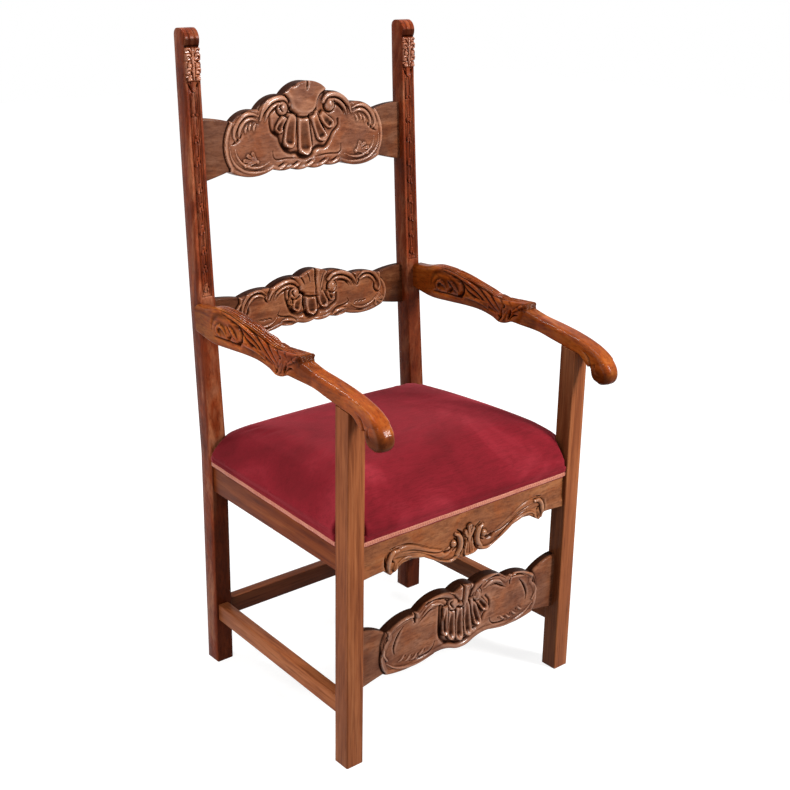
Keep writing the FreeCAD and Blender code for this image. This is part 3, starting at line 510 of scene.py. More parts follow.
def velvet(name):
    """Crimson cotton velvet: streaked nap, brushed light and dark, with a sheen."""
    n = Nodes(bpy.data.materials.new(name))
    brushed = n.noise(5.0, (1, 1, 1), 4.0, 0.6, 0.6)
    nap = n.noise(1.0, (30.0, 210.0, 210.0), 3.0, 0.7, 1.2)
    pile = n.noise(900.0, (1, 1, 1), 2.0, 0.7)
    colour = n.ramp(brushed, [(0.34, srgb(102, 12, 22)), (0.52, srgb(123, 20, 32)),
                              (0.68, srgb(146, 38, 49))])
    colour = n.tinted(0.8, colour, nap, [(0.36, (0.74, 0.66, 0.68, 1)), (0.55, WHITE),
                                         (0.70, (1.0, 0.97, 0.97, 1))])
    colour = n.tinted(0.6, colour, pile, [(0.3, (0.82, 0.8, 0.8, 1)), (0.6, WHITE)])
    surface = n.bump(nap, 0.30, 0.0012, n.bump(pile, 0.35, 0.0005))
    return n.finish(Base_Color=colour, Normal=surface, Roughness=0.88, Specular_IOR_Level=0.15,
                    Sheen_Weight=0.32, Sheen_Roughness=0.42, Sheen_Tint=srgb(228, 108, 118))


def braid_cloth(name):
    """Rose-gold silk braid with worn, dusty places and painted shade where its weave dips."""
    n = Nodes(bpy.data.materials.new(name))
    threads = n.noise(1500.0, (1, 1, 1), 2.0, 0.6)
    patches = n.noise(40.0, (1, 1, 1), 3.0, 0.6)
    colour = n.ramp(threads, [(0.35, srgb(162, 86, 66)), (0.55, srgb(204, 130, 104)),
                              (0.75, srgb(232, 172, 138))])
    colour = n.tinted(0.8, colour, patches, [(0.35, (0.85, 0.66, 0.62, 1)), (0.6, WHITE)])
    # Painted shade in the dips of the weave
    cuts = n.math("MULTIPLY", n.raised(n.attribute("hollow")), 0.8)
    colour = n.mix(cuts, colour, srgb(120, 44, 36))
    return n.finish(Base_Color=colour, Normal=n.bump(threads, 0.5, 0.0003), Roughness=0.62, Sheen_Weight=0.3,
                    Sheen_Roughness=0.4)


def coarse_cloth(name, dark, light, pitch):
    """A plain weave: two sets of threads over and under each other."""
    n = Nodes(bpy.data.materials.new(name))
    split = n.add("SeparateXYZ", {0: n.place((1, 1, 1))})
    warp, weft = (n.math("SINE", n.math("MULTIPLY", split.outputs[axis], 2 * math.pi / pitch)) for axis in "XY")
    weave = n.math("MULTIPLY_ADD", n.math("MULTIPLY", warp, weft), 0.5, 0.5)
    slubs = n.noise(120.0, (1, 1, 1), 4.0, 0.7)
    shade = n.math("MULTIPLY_ADD", slubs, 0.6, n.math("MULTIPLY", weave, 0.4))
    colour = n.ramp(shade, [(0.3, srgb(*dark)), (0.7, srgb(*light))])
    return n.finish(Base_Color=colour, Normal=n.bump(weave, 0.6, 0.0006), Roughness=0.9)


def steel(name, colour, rough):
    n = Nodes(bpy.data.materials.new(name))
    spots = n.noise(300.0, (1, 1, 1), 4.0, 0.7)
    bright = srgb(*colour)
    dull = tuple(0.6 * part for part in bright[:3]) + (1,)
    return n.finish(Base_Color=n.ramp(spots, [(0.3, bright), (0.7, dull)]), Normal=n.bump(spots, 0.3, 0.0002),
                    Metallic=1.0, Roughness=rough)


OTHERS = {
    "screw_steel": (steel, (176, 174, 168), 0.35),
    "tack_steel": (steel, (84, 84, 90), 0.42),
    "webbing": (coarse_cloth, (120, 96, 62), (188, 160, 116), 0.003),
    "base_cloth": (coarse_cloth, (128, 102, 68), (196, 170, 128), 0.0022),
    "velvet": (velvet,),
    "braid": (braid_cloth,),
}
MADE = {}


def material(name):
    """The finish of this name, made when it is first asked for."""
    if name not in MADE:
        if name in WOODS:
            *shades, grain, rough, coat, more = WOODS[name]
            MADE[name] = wood(name, *[srgb(*shade) for shade in shades], grain, rough, coat, **more)
        else:
            make, *values = OTHERS[name]
            MADE[name] = make(name, *values)
    return MADE[name]


def finish_with(obj, look):
    obj.data.materials.clear()
    obj.data.materials.append(material(look))


def dress(obj, look, nodes=()):
    """A new piece's finish, the nodes that it stands for, and its body."""
    finish_with(obj, look)
    if nodes:
        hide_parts(*nodes)
    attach(obj, "root")
    return obj


# ---- carved boards ----

BOARD_COLUMNS = 430
BOARD_ROWS = 104
BOARD_INSET = 0.5
EDGE_ROUND = 3.0
EDGE_STEPS = 5
BACK_STEPS = 6
EDGE_SHADE = 0.86
END_SHADE = 0.33
FRONT_END_SHADE = 0.10

# Half outlines from the right end to the middle, knots and arc points in turn, as shares of the half
# length and of the height, as in the solids
CREST_TOP = [(1.0, 0.678), (0.842, 0.658), (0.707, 0.612), (0.594, 0.713), (0.467, 0.722),
             (0.354, 0.842), (0.215, 0.867)]
CREST_FOOT = [(1.0, 0.003), (0.892, 0.035), (0.758, 0.084), (0.547, 0.0), (0.345, 0.058),
              (0.253, 0.032), (0.168, 0.046), (0.084, 0.020), (0.0, 0.040)]
MID_TOP = [(1.0, 0.767), (0.842, 0.749), (0.720, 0.704), (0.577, 0.785), (0.425, 0.780),
           (0.290, 0.897), (0.143, 0.906)]
MID_FOOT = [(1.0, 0.027), (0.884, 0.063), (0.762, 0.112), (0.547, 0.0), (0.337, 0.067),
            (0.253, 0.037), (0.168, 0.065), (0.084, 0.025), (0.0, 0.058)]
BOARD_TOP = [(1.0, 0.868), (0.870, 0.827), (0.745, 0.713), (0.610, 0.828), (0.448, 0.842),
             (0.285, 0.978), (0.112, 0.938)]
BOARD_FOOT = [(1.0, 0.0), (0.875, 0.052), (0.765, 0.093), (0.520, 0.040), (0.310, 0.090),
              (0.200, 0.100), (0.105, 0.055), (0.055, 0.020), (0.0, 0.010)]
RAIL_FOOT = [(1.0, 0.300), (0.880, 0.325), (0.800, 0.335), (0.780, 0.285), (0.742, 0.215),
             (0.690, 0.285), (0.640, 0.355), (0.545, 0.372), (0.440, 0.335), (0.330, 0.190),
             (0.190, 0.045), (0.140, 0.045), (0.100, 0.085), (0.055, 0.035), (0.0, 0.070)]


def outline(shares, half, height, apex):
    """A whole upper or lower edge, as heights over X."""
    right = [(x * half, z * height) for x, z in shares]
    left = [(-x, z) for x, z in reversed(right)]
    knots = right + ([(0, height)] if apex else []) + (left if apex else left[1:])
    line = [arc_points(knots[k], knots[k + 1], knots[k + 2], 24) for k in range(0, len(knots) - 2, 2)]
    line = np.vstack(line)
    return line[np.argsort(line[:, 0], kind="stable")]


def field(relief, half, height, rise):
    """The raised cartouche: plain ends, a rolled border along its ends, then the sunk ground."""
    edge = arc_points((0.755 * half, 0.12 * height), (0.80 * half, 0.38 * height),
                      (0.74 * half, 0.60 * height), 40)
    edge = np.vstack([[edge[0][0], -height], edge, [edge[-1][0], 2 * height]])
    limit = np.interp(relief.z, edge[:, 1], edge[:, 0])
    inside = smooth((limit - np.abs(relief.x)) / 2.2)
    relief.ground = rise * inside
    relief.height = relief.ground + tooled(relief.x, relief.z) * inside
    return limit


def edge_gaps(x, z, foot, top, steepest=np.inf):
    """How far each place is from a board's lower and upper edge, measured square to the edge."""
    gaps = []
    for edge, gap in ((foot, z - foot), (top, top - z)):
        slope = np.gradient(edge, axis=0) / np.gradient(x, axis=0)
        gaps.append(gap / np.sqrt(1 + np.clip(slope, -steepest, steepest) ** 2))
    return gaps


def border(relief, limit, foot, top, width, rise, inset):
    """A rolled border inside the cartouche's whole edge, with a cut inside it."""
    far = np.minimum(limit - np.abs(relief.x), np.minimum(*edge_gaps(relief.x, relief.z, foot, top)))
    inside = far > 0
    roll = relief.ground + rise * rounded((far - inset) / width)
    relief.height = np.where(inside, np.maximum(relief.height, roll), relief.height)
    relief.height -= 0.4 * np.exp(-((far - inset - width - 1.2) / 1.3) ** 2) * inside


def crest_carving(r, half, height, foot, top):
    limit = field(r, half, height, 4.5)
    border(r, limit, foot, top, 4.0, 1.0, 4.4)
    r.ridges([(109, 104), (103, 120), (90, 134), (75, 141), (60, 143), (47, 139),
              (41, 130)], 5.4, 5.8, 0.3, 0.8)
    r.ridges([(98, 101), (92, 115), (82, 126), (70, 132), (58, 134)], 3.4, 4.6, 0.2, 0.6)
    r.grooves([(117, 106), (108, 126), (93, 141), (74, 149), (56, 151)], 1.9, 3.0, 0.6, 0.3)
    r.grooves([(103, 103), (96, 119), (84, 131), (70, 137), (54, 138)], 1.5, 3.4, 0.3, 0.6)
    r.grooves([(92, 103), (86, 114), (76, 122), (67, 125)], 2.0, 3.4, 0.3, 0.8)
    r.ridges([(112, 113), (126, 118), (142, 117), (155, 108), (165, 95), (169, 81),
              (164, 70)], 4.2, 4.0, 0.3, 0.5)
    r.ridges([(113, 104), (128, 109), (142, 106), (152, 96), (157, 84), (156, 73)], 3.6, 3.8, 0.2, 0.5)
    r.grooves([(111, 109), (127, 113.5), (142, 111.5), (154, 102), (161, 88), (162, 75)], 1.5, 3.2)
    r.grooves([(148, 86), (155, 76), (168, 67), (176, 64)], 2.4, 3.8)
    r.grooves([(112, 98), (126, 101), (138, 97), (146, 87)], 1.6, 2.4)
    for x, z in ((120, 99), (130, 101), (139, 97)):
        r.ridges([(x, z), (x + 4, z - 8), (x + 3, z - 15)], 2.6, 2.8, 0.6, 0.2)
    r.ridges([(84, 14), (104, 9), (128, 8), (150, 13), (168, 26), (177, 42), (179, 58)], 3.0, 2.6)
    r.ridges([(90, 25), (110, 18), (132, 18), (152, 27), (163, 40), (167, 54)], 2.6, 2.4)
    r.grooves([(82, 46), (81, 34), (73, 28), (50, 29), (26, 27), (8, 25)], 1.3, 2.2, 0.6, 0.3)
    for x in (-78, -45, -12, 21, 50):
        r.ridge([(x, 8.5), (x + 14, 12), (x + 29, 19.5)], 3.4, 3.0, 0.2, 0.2)
        r.groove([(x + 4, 14), (x + 14, 17.5), (x + 24, 23.5)], 1.2, 2.0)
    for x, z in ((150, 22), (152, 33), (143, 43), (131, 47)):
        r.petals((120, 28), (x, z), 1.6, 4.4, 3.2, 1.4)
    r.domes((119, 28), 4.2, 3.4)
    flutes(r, [((-10, 114), (-7, 32), 12, 17), ((-36, 112), (-46, 48), 11, 15), ((-53, 106), (-72, 79), 8, 11),
               ((15, 112), (37, 56), 10, 13), ((31, 108), (60, 82), 8, 11)], 9.0, 0.80,
           [(-86, 116), (-86, 96), (-82, 82), (-68, 71), (-63, 58), (-53, 44), (-40, 38), (-28, 37), (-19, 30),
            (-6, 27), (9, 31), (16, 41), (26, 45), (42, 45), (53, 56), (62, 70), (75, 82), (76, 94)])
    for line in ([(-24, 112), (-26, 84), (-30, 52)], [(3, 112), (8, 82), (13, 48)],
                 [(-45, 108), (-55, 90), (-60, 76)], [(23, 110), (35, 88), (48, 66)]):
        r.groove(line, 2.2, 6.5, 0.7, 0.4)
    eye(r, -57, 124, 11.5, 8.5, (-1, 1))
    eye(r, 55, 124, 11.5, 8.5, (1, 1))
    r.groove([(-40, 121), (-28, 108.5), (-14, 104), (0, 104), (13, 108), (23, 119)], 2.8, 6.0, 0.7, 0.7)
    r.plateau([(-37, 120), (-27, 112), (-14, 108), (0, 108), (12, 112), (20, 120), (24, 133), (31, 143),
               (43, 151), (54, 157), (70, 190), (-72, 190), (-58, 157), (-50, 149), (-43, 139), (-40, 128)],
              8.6, 7.0, 1.6)
    r.groove([(-22, 177), (-27, 168), (-36, 163)], 2.0, 4.6, 1.0, 0.3)
    r.groove([(1, 178), (-1, 168), (-3, 156)], 1.9, 4.6, 1.0, 0.4)
    r.groove([(-52, 150), (-45, 139), (-42, 127)], 1.6, 3.4, 0.5, 0.5)
    r.groove([(52, 154), (32, 145), (24, 133), (22, 122)], 1.8, 4.2, 0.4, 0.7)


def eye(r, x, z, radius, rise, lean):
    """A scroll's eye: a round boss with a comma cut into it."""
    side, up = lean
    r.groove(curl(x, z, radius + 2.2, radius + 2.2, 90 + side * 50, side * 250), 2.2, 4.2, 0.4, 0.4)
    r.dome((x, z), radius, rise, 1.15)
    r.groove([(x + side * radius * 0.15, z + up * radius * 0.75),
              (x + side * radius * 0.62, z + up * 0.2 * radius),
              (x + side * radius * 0.25, z - up * radius * 0.55)], 1.9, 4.6, 0.3, 0.7)


def flutes(r, strokes, rise, scoop, outline):
    """A fan of hollow flutes, with the ground cut away round them."""
    r.groove(spline(outline, 120), 4.4, 4.6, 0.6, 0.6)
    for root, tip, root_width, tip_width in strokes:
        r.petal(root, tip, root_width, tip_width, rise, rise * scoop)


def mid_carving(r, half, height, foot, top):
    limit = field(r, half, height, 4.5)
    border(r, limit, foot, top, 3.6, 0.9, 4.0)
    r.ridges([(110, 64), (102, 77), (91, 86), (76, 92), (61, 95), (47, 92), (37, 84)], 4.6, 5.8, 0.3, 0.8)
    r.ridges([(97, 64), (89, 75), (77, 82), (62, 85), (49, 82), (40, 76)], 3.2, 4.8, 0.2, 0.6)
    r.grooves([(105, 62), (96, 76), (83, 84.5), (69, 89), (54, 88.5), (43, 82)], 1.5, 3.6, 0.4, 0.6)
    r.grooves([(114, 68), (104, 85), (88, 94), (70, 99), (52, 97)], 1.6, 2.8, 0.6, 0.3)
    r.grooves([(92, 62), (84, 72), (73, 77), (62, 78)], 1.8, 3.0, 0.3, 0.7)
    r.ridges([(114, 76), (126, 85), (142, 86), (157, 79), (168, 66), (172, 52), (168, 42)], 3.8, 4.0, 0.3, 0.4)
    r.ridges([(114, 68), (128, 76), (142, 76), (153, 68), (160, 56)], 3.0, 3.6, 0.3, 0.3)
    r.grooves([(112, 72), (127, 80.5), (142, 81), (156, 73), (164, 60), (166, 48)], 1.4, 3.2)
    r.grooves([(156, 62), (158, 47), (165, 39), (174, 40)], 2.6, 4.0)
    r.grooves([(117, 76), (116, 66), (110, 58)], 2.0, 3.6)
    r.ridges([(42, 8), (54, 15), (68, 18), (82, 17)], 3.6, 4.4, 0.2, 0.2)
    r.grooves([(44, 16), (58, 23), (74, 25), (88, 30), (85, 38)], 1.4, 2.6, 0.3, 0.5)
    r.ridges([(48, 2), (62, 7), (80, 8)], 2.6, 3.0, 0.2, 0.2)
    r.grooves([(86, 27), (97, 16), (114, 8), (134, 6)], 1.6, 2.8)
    r.ridges([(92, 25), (106, 16), (128, 13), (150, 20), (165, 32)], 2.6, 2.4)
    for x, z in ((176, 14), (180, 25), (172, 34), (160, 10)):
        r.petals((158, 22), (x, z), 1.4, 4.0, 3.0, 1.2)
    for x in (100, 110, 120):
        r.grooves([(x, 22 + (x - 100) * 0.1), (x + 7, 27), (x + 16, 28)], 1.2, 1.8)
    flutes(r, [((-9, 66), (-7, 20), 13, 13), ((-38, 66), (-46, 32), 9, 11), ((13, 64), (27, 31), 9, 11),
               ((-54, 64), (-59, 46), 5, 7), ((34, 62), (46, 42), 6, 8)], 8.5, 0.80,
           [(-68, 80), (-68, 62), (-64, 50), (-59, 38), (-52, 29), (-38, 24), (-24, 25), (-17, 17), (-6, 14),
            (6, 17), (14, 25), (30, 24), (44, 30), (56, 38), (58, 52)])
    for line in ([(-25, 64), (-26, 46), (-24, 28)], [(4, 62), (7, 46), (9, 26)], [(26, 60), (36, 44)],
                 [(-49, 62), (-54, 44)]):
        r.groove(line, 2.2, 6.0, 0.7, 0.4)
    eye(r, -48, 69, 10.5, 8.5, (-1, 1))
    eye(r, 46, 69, 10.5, 8.5, (1, 1))
    r.groove([(-37, 69), (-24, 61), (-12, 57), (0, 56), (9, 55)], 2.4, 6.0, 0.7, 0.7)
    r.plateau([(-35, 72), (-22, 65), (-12, 61), (2, 60), (4, 72), (2, 90), (4, 130), (-60, 130), (-54, 104),
               (-44, 92), (-37, 82)], 7.6, 6.0, 1.2)
    r.plateau([(6, 56), (14, 60), (20, 74), (26, 92), (40, 104), (44, 130), (6, 130), (6, 96), (3, 80),
               (2, 66)],
              7.8, 5.0, 1.0)
    r.groove([(4, 114), (4, 100), (3, 90)], 2.0, 6.0, 1.0, 0.5)
    r.groove([(10, 62), (14, 78), (20, 96), (26, 106)], 1.3, 2.6)
    r.groove([(-40, 104), (-30, 94), (-24, 80)], 1.6, 3.2)
    r.groove([(-20, 110), (-14, 96), (-12, 84)], 1.3, 2.4)


def front_carving(r, half, height, foot, top):
    limit = field(r, half, height, 3.8)
    border(r, limit, foot, top, 5.0, 1.2, 5.6)
    r.ridges([(124, 114), (106, 128), (86, 135), (64, 135), (44, 129), (28, 118),
              (22, 106)], 7.0, 5.4, 0.3, 0.8)
    r.grooves([(110, 112), (95, 122), (78, 127), (62, 125), (48, 119), (40, 112)], 2.0, 3.6, 0.4, 0.6)
    r.ridges([(103, 103), (92, 113), (78, 118), (64, 116), (52, 110)], 3.6, 3.4, 0.2, 0.4)
    r.grooves([(112, 92), (98, 100), (84, 108), (70, 109)], 1.8, 3.4, 0.3, 0.4)
    r.ridges([(124, 104), (138, 116), (156, 113), (172, 105), (186, 92), (194, 74), (194, 56), (186, 42)],
           5.0, 4.0, 0.4, 0.4)
    r.grooves([(122, 96), (124, 106), (134, 110), (152, 107), (166, 99)], 2.0, 3.8, 0.7, 0.3)
    r.ridge([(-178, 101), (-160, 110), (-142, 114), (-126, 112)], 4.4, 5.0, 0.4, 0.6)
    r.groove([(-121, 118), (-119, 108), (-119, 96)], 3.4, 7.0, 0.6, 0.5)
    r.grooves([(148, 98), (158, 86), (166, 72), (170, 58), (168, 48)], 2.2, 4.2, 0.4, 0.4)
    r.grooves([(178, 96), (190, 84), (196, 66)], 1.5, 2.4)
    r.ridges([(62, 14), (84, 13), (112, 10), (140, 12), (166, 20), (186, 34)], 3.0, 2.4)
    r.grooves([(70, 40), (74, 30), (84, 23), (104, 20), (128, 21), (148, 27)], 1.5, 2.8, 0.5, 0.4)
    for x, z in ((92, 34), (108, 31), (124, 33), (139, 38)):
        r.grooves([(x, z), (x + 8, z - 7), (x + 15, z - 11)], 1.7, 3.2)
        r.ridges([(x + 6, z + 1), (x + 13, z - 6), (x + 20, z - 9)], 2.2, 2.2)
    flutes(r, [((-48, 106), (-48, 46), 6, 7), ((-33, 104), (-32, 32), 8, 10), ((-14, 102), (-11, 24), 8, 10),
               ((3, 102), (12, 26), 8, 10), ((17, 104), (38, 40), 7, 9), ((26, 106), (58, 66), 6, 8)],
           9.0, 0.85,
           [(-60, 112), (-60, 80), (-59, 54), (-54, 40), (-44, 28), (-32, 24), (-22, 19), (-10, 15), (6, 16),
            (18, 20), (26, 30), (38, 32), (48, 40), (56, 54), (68, 62), (68, 78), (58, 92)])
    for line in ([(-40, 100), (-41, 74), (-40, 44)], [(-23, 98), (-22, 66), (-21, 34)],
                 [(-5, 98), (0, 62), (1, 32)], [(11, 98), (22, 66), (26, 44)], [(22, 98), (40, 74), (48, 58)]):
        r.groove(line, 1.3, 3.0, 0.7, 0.4)
    eye(r, -29, 106, 12.0, 8.5, (-1, 1))
    eye(r, 33, 104, 11.0, 8.0, (1, 1))
    r.groove([(-22, 96), (-10, 93), (-4, 92)], 2.4, 5.0, 0.6, 0.6)
    r.plateau([(-20, 112), (-10, 104), (-6, 112), (-5, 126), (-4, 160), (-52, 160), (-44, 134), (-30, 124)],
              7.4, 5.0, 1.0)
    r.plateau([(-8, 90), (-1, 92), (5, 104), (10, 120), (22, 134), (26, 160), (-2, 160), (-3, 128), (-4, 108)],
              9.0, 4.0, 0.8)
    r.groove([(-5, 140), (-6, 124), (-7, 108), (-10, 98)], 1.9, 6.0, 0.8, 0.5)
    r.groove([(12, 136), (8, 122), (8, 106), (12, 94)], 2.4, 6.0, 0.4, 0.8)


def rail_carving(r, half, height, foot, top):
    """The front rail: scrolls along its lower edge, running in to a hanging leaf."""
    r.height = 0.5 * tooled(r.x, r.z)
    r.height += 1.8 * smooth((24 - (r.z - foot)) / 12)
    lower = [(172, 40), (160, 47), (142, 47), (118, 40), (96, 28), (74, 15), (54, 8), (38, 9), (26, 16)]
    band = [(184, 60), (170, 62), (150, 60), (126, 51), (104, 40), (80, 30), (60, 26), (46, 30)]
    for side, rise in ((-1, 4.4), (1, 2.4)):
        line = spline(band) * np.array([side, 1])
        r.ridge(line, 13.0, rise, 0.6, 0.5)
        r.groove(line + np.array([0, 13]), 1.6, 0.42 * rise, 0.6, 0.5)
    r.grooves([(164, 63), (144, 60), (122, 52), (100, 42), (80, 35), (64, 33)], 1.8, 3.0, 0.3, 0.5)
    r.grooves([(160, 55), (140, 54), (118, 47), (98, 36), (80, 25), (66, 20)], 1.5, 2.2, 0.3, 0.5)
    r.ridges(lower, 5.0, 5.6, 0.4, 0.8)
    r.grooves([(66, 33), (56, 29), (46, 29), (41, 36)], 3.6, 5.0, 0.4, 0.8)
    r.grooves([(196, 33), (199, 46), (196, 60), (187, 71), (176, 75)], 2.4, 4.6, 0.6, 0.4)
    r.ridges([(190, 30), (192, 44), (189, 57), (181, 66), (170, 67)], 5.0, 6.0, 0.5, 0.7)
    r.grooves([(183, 52), (179, 43), (182, 33), (177, 26)], 2.2, 4.6, 0.5, 0.4)
    r.ridges([(172, 42), (174, 33), (181, 26)], 3.0, 4.2, 0.5, 0.3)
    r.ridges([(34, 58), (26, 53), (21, 42), (22, 28), (30, 17)], 5.6, 6.8, 0.5, 0.8)
    r.grooves([(28, 64), (18, 56), (13, 43), (13, 28), (20, 14)], 2.4, 5.6, 0.5, 0.5)
    r.domes((38, 40), 7.0, 6.0)
    r.grooves([(36, 50), (30, 42), (31, 31), (38, 26)], 2.0, 5.0, 0.5, 0.5)
    r.petal((0, 42), (0, 70), 4.0, 6.0, 6.4, 1.2)
    for x, z in ((-8, 8), (8, 8), (0, 5)):
        r.petal((x * 0.3, 50), (x, z), 4.0, 5.6, 6.6, 2.4)
    r.grooves([(4, 58), (6, 46), (4, 34)], 1.7, 4.4, 0.6, 0.6)
    r.petals((4, 44), (11, 60), 2.6, 4.0, 5.4, 1.4)


def carved_board(name, node, half, height, thickness, shares, carve, place, look="carved_wood", scalloped=True,
                 ends=END_SHADE):
    """A board with scalloped edges and a carved face, standing from Y 0 forwards."""
    lower = outline(shares[1], half, height, False)
    upper = outline(shares[0], half, height, True) if scalloped else np.array([(0.0, height)])
    xs = np.linspace(-half, half, BOARD_COLUMNS)
    foot = np.interp(xs, lower[:, 0], lower[:, 1])[:, None]
    top = np.interp(xs, upper[:, 0], upper[:, 1])[:, None]
    share = np.linspace(0, 1, BOARD_ROWS)[None, :]
    x = xs[:, None] + 0 * share
    foot_grid = foot + 0 * share
    top_grid = top + 0 * share
    z = foot_grid + (top_grid - foot_grid) * share
    relief = Relief(x, z)
    carve(relief, half, height, foot_grid, top_grid)
    # Darker in cuts and scoops (dirt and painted shade), lighter on ridges (wear and painted highlight)
    hollow = np.clip(hollowness(relief.height) + relief.painted_shade, -1, 1)
    far, upper_gap = edge_gaps(x, z, foot_grid, top_grid, 3)
    if scalloped:
        hollow = np.where(relief.ground < 1, np.maximum(hollow, ends), hollow)
        far = np.minimum(far, upper_gap)
    fall = EDGE_ROUND - np.clip(far, 0, EDGE_ROUND)
    front = -thickness - relief.height + (EDGE_ROUND - np.sqrt(EDGE_ROUND ** 2 - fall ** 2))
    back = 1 - np.arange(1, EDGE_STEPS + 1) / EDGE_STEPS
    down = top - (top - foot) * np.arange(1, BACK_STEPS) / BACK_STEPS
    flat = np.zeros((1, EDGE_STEPS))
    y = np.hstack([front, front[:, -1:] * back, 0 * down, front[:, :1] * back[::-1]])
    z = np.hstack([z, top + flat, down, foot + flat])
    shade = np.zeros(y.shape)
    shade[:, :BOARD_ROWS] = hollow
    if scalloped:
        shade[:, BOARD_ROWS:BOARD_ROWS + EDGE_STEPS] = EDGE_SHADE
    points = place(xs[:, None] + 0 * y, y, z)
    piece(name, points, tube_faces(*y.shape), look, (node,), shade, 50)


def leaning(foot, height):
    """Stands a board along the posts' swept backs."""
    low = sweep_at(foot, BACK_SWEEP)
    angle = -math.asin((sweep_at(foot + height, BACK_SWEEP) - low) / height)

    def place(x, y, z):
        back = y * math.cos(angle) - z * math.sin(angle) + POST_BACK + low - BOARD_INSET
        return np.stack([x, back, y * math.sin(angle) + z * math.cos(angle) + foot], 2)
    return place


def upright(back, foot):
    return lambda x, y, z: np.stack([x, y + back, z + foot], 2)


# ---- posts ----

POST_ROWS = 760
PLAIN_ROWS = 60
FRONT_COLUMNS = 34
POST_EASE = 1.6
ROLL_RADIUS = 16.0
ROLL_OVERHANG = 3.0
ROLL_FOOT = POST_TOP - 2 * ROLL_RADIUS
PANEL_FOOT = 768.0
PANEL_TOP = ROLL_FOOT - 60
PANEL_HALF = 11.5
PANEL_SINK = 2.5
LEAF_FOOT = 1163.0
LEAF_TOP = 1223.0
LEAF_RISE = 2.2
LEAF_GLEAM = 0.75
ROLL_SHADE = 0.72
POST_INNER_SHADE = 0.26


def post_carving(r):
    """The sunk panel with its chain of husks, the leaf above it and the reeded roll."""
    sunk = smooth((PANEL_HALF - np.abs(r.x)) / 1.5) * between(r.z, PANEL_FOOT, 2, PANEL_TOP + 2, 2)
    r.height = -PANEL_SINK * sunk
    r.ground = r.height.copy()
    r.height += 0.4 * tooled(r.x, r.z, 6.0)
    for x in (-6, 6):
        r.groove([(x, 1226), (x, 1262)], 1.5, 1.5, 0.8, 0.8)
    r.groove([(-20, 1224.5), (20, 1224.5)], 1.8, 3.6, 1.0, 1.0)
    leaf = LEAF_RISE * between(r.z, LEAF_FOOT, 3, LEAF_TOP, 1.5)
    r.ground = r.ground + leaf
    r.height += leaf
    r.ridge([(0, 1222), (0.8, 1205), (0, 1185), (0, 1166)], 2.6, 3.6, 0.9, 0.5)
    r.ridges([(2, 1203), (7, 1210), (14, 1209), (15, 1203), (10, 1201)], 2.5, 3.6, 0.5, 0.5)
    r.ridges([(3, 1213), (6, 1220), (12, 1221), (16, 1216)], 2.3, 3.4, 0.5, 0.4)
    r.ridges([(2, 1181), (8, 1186), (14, 1184), (15, 1178)], 2.4, 3.2, 0.5, 0.5)
    r.grooves([(3, 1216), (4, 1207), (8, 1204)], 1.2, 2.6)
    r.grooves([(2, 1196), (4, 1182), (3, 1172)], 1.3, 2.8)
    r.grooves([(4, 1200), (12, 1198), (17, 1200)], 1.3, 2.8, 0.5, 0.8)
    r.grooves([(4, 1176), (12, 1175), (17, 1177)], 1.3, 2.8, 0.5, 0.8)
    r.domes((8, 1191.5), 4.8, 5.2)
    r.domes((8.5, 1167.5), 5.0, 5.4)
    r.ridges([(13.5, 1197), (15.5, 1190), (13, 1186)], 1.9, 2.8)
    r.grooves([(13, 1162), (7, 1154), (2, 1146)], 1.8, 3.4, 0.7, 0.6)
    r.petal((0, 1166), (0, 1145), 5.5, 4.2, 3.8, 1.4)
    r.ridges([(3.4, 1143), (4.4, 1125), (4.4, 1108)], 1.3, 2.2, 0.7, 0.9)
    r.domes((4.6, 1104), 3.2, 3.6)
    r.ridges([(3.2, 1098), (3.8, 1060), (3.0, 1000), (3.8, 940), (3.0, 880), (3.6, 820), (2.4, 776)],
           1.2, 2.0, 0.8, 0.6)
    r.grooves([(7.2, 1140), (7.6, 1060), (7.0, 960), (7.6, 860), (7.0, 774)], 1.1, 1.4, 0.8, 0.8)
    for z, size in ((1063, 0.8), (1024, 1.0), (976, 1.1), (940, 1.0), (900, 1.1), (860, 0.9), (825, 0.8),
                    (790, 0.9)):
        r.dome((-0.6, z + 2), 3.1 * size, 3.4)
        r.petal((-1.0, z), (-3.8, z - 10 * size), 1.4, 2.5 * size, 3.2, 0.8)
        r.petal((0.6, z - 1), (3.4, z - 13 * size), 1.4, 2.5 * size, 3.4, 0.8)
        r.groove([(-4.8, z + 1), (-6.4, z - 5), (-4.4, z - 13)], 1.0, 1.6)


def front_face(z):
    """The post's front face, with the roll at its top."""
    start = POST_FRONT + sweep_at(ROLL_FOOT, FRONT_SWEEP)
    rolled_out = start - ROLL_OVERHANG
    y, centre, radius = circle_through((start, ROLL_FOOT), (rolled_out, ROLL_FOOT + ROLL_RADIUS),
                                       (rolled_out + ROLL_RADIUS, POST_TOP))
    roll = y - np.sqrt(np.clip(radius ** 2 - (z - centre) ** 2, 0, None))
    return np.where(z > ROLL_FOOT, roll, POST_FRONT + sweep_at(z, FRONT_SWEEP))


def back_face(z):
    """The post's back, rounded over at its top."""
    over = np.clip(z - POST_TOP + BACK_ROUND, 0, BACK_ROUND)
    top = POST_BACK + POST_SWEEP - BACK_ROUND + np.sqrt(BACK_ROUND ** 2 - over ** 2)
    return np.where(over > 0, top, POST_BACK + sweep_at(z, BACK_SWEEP))


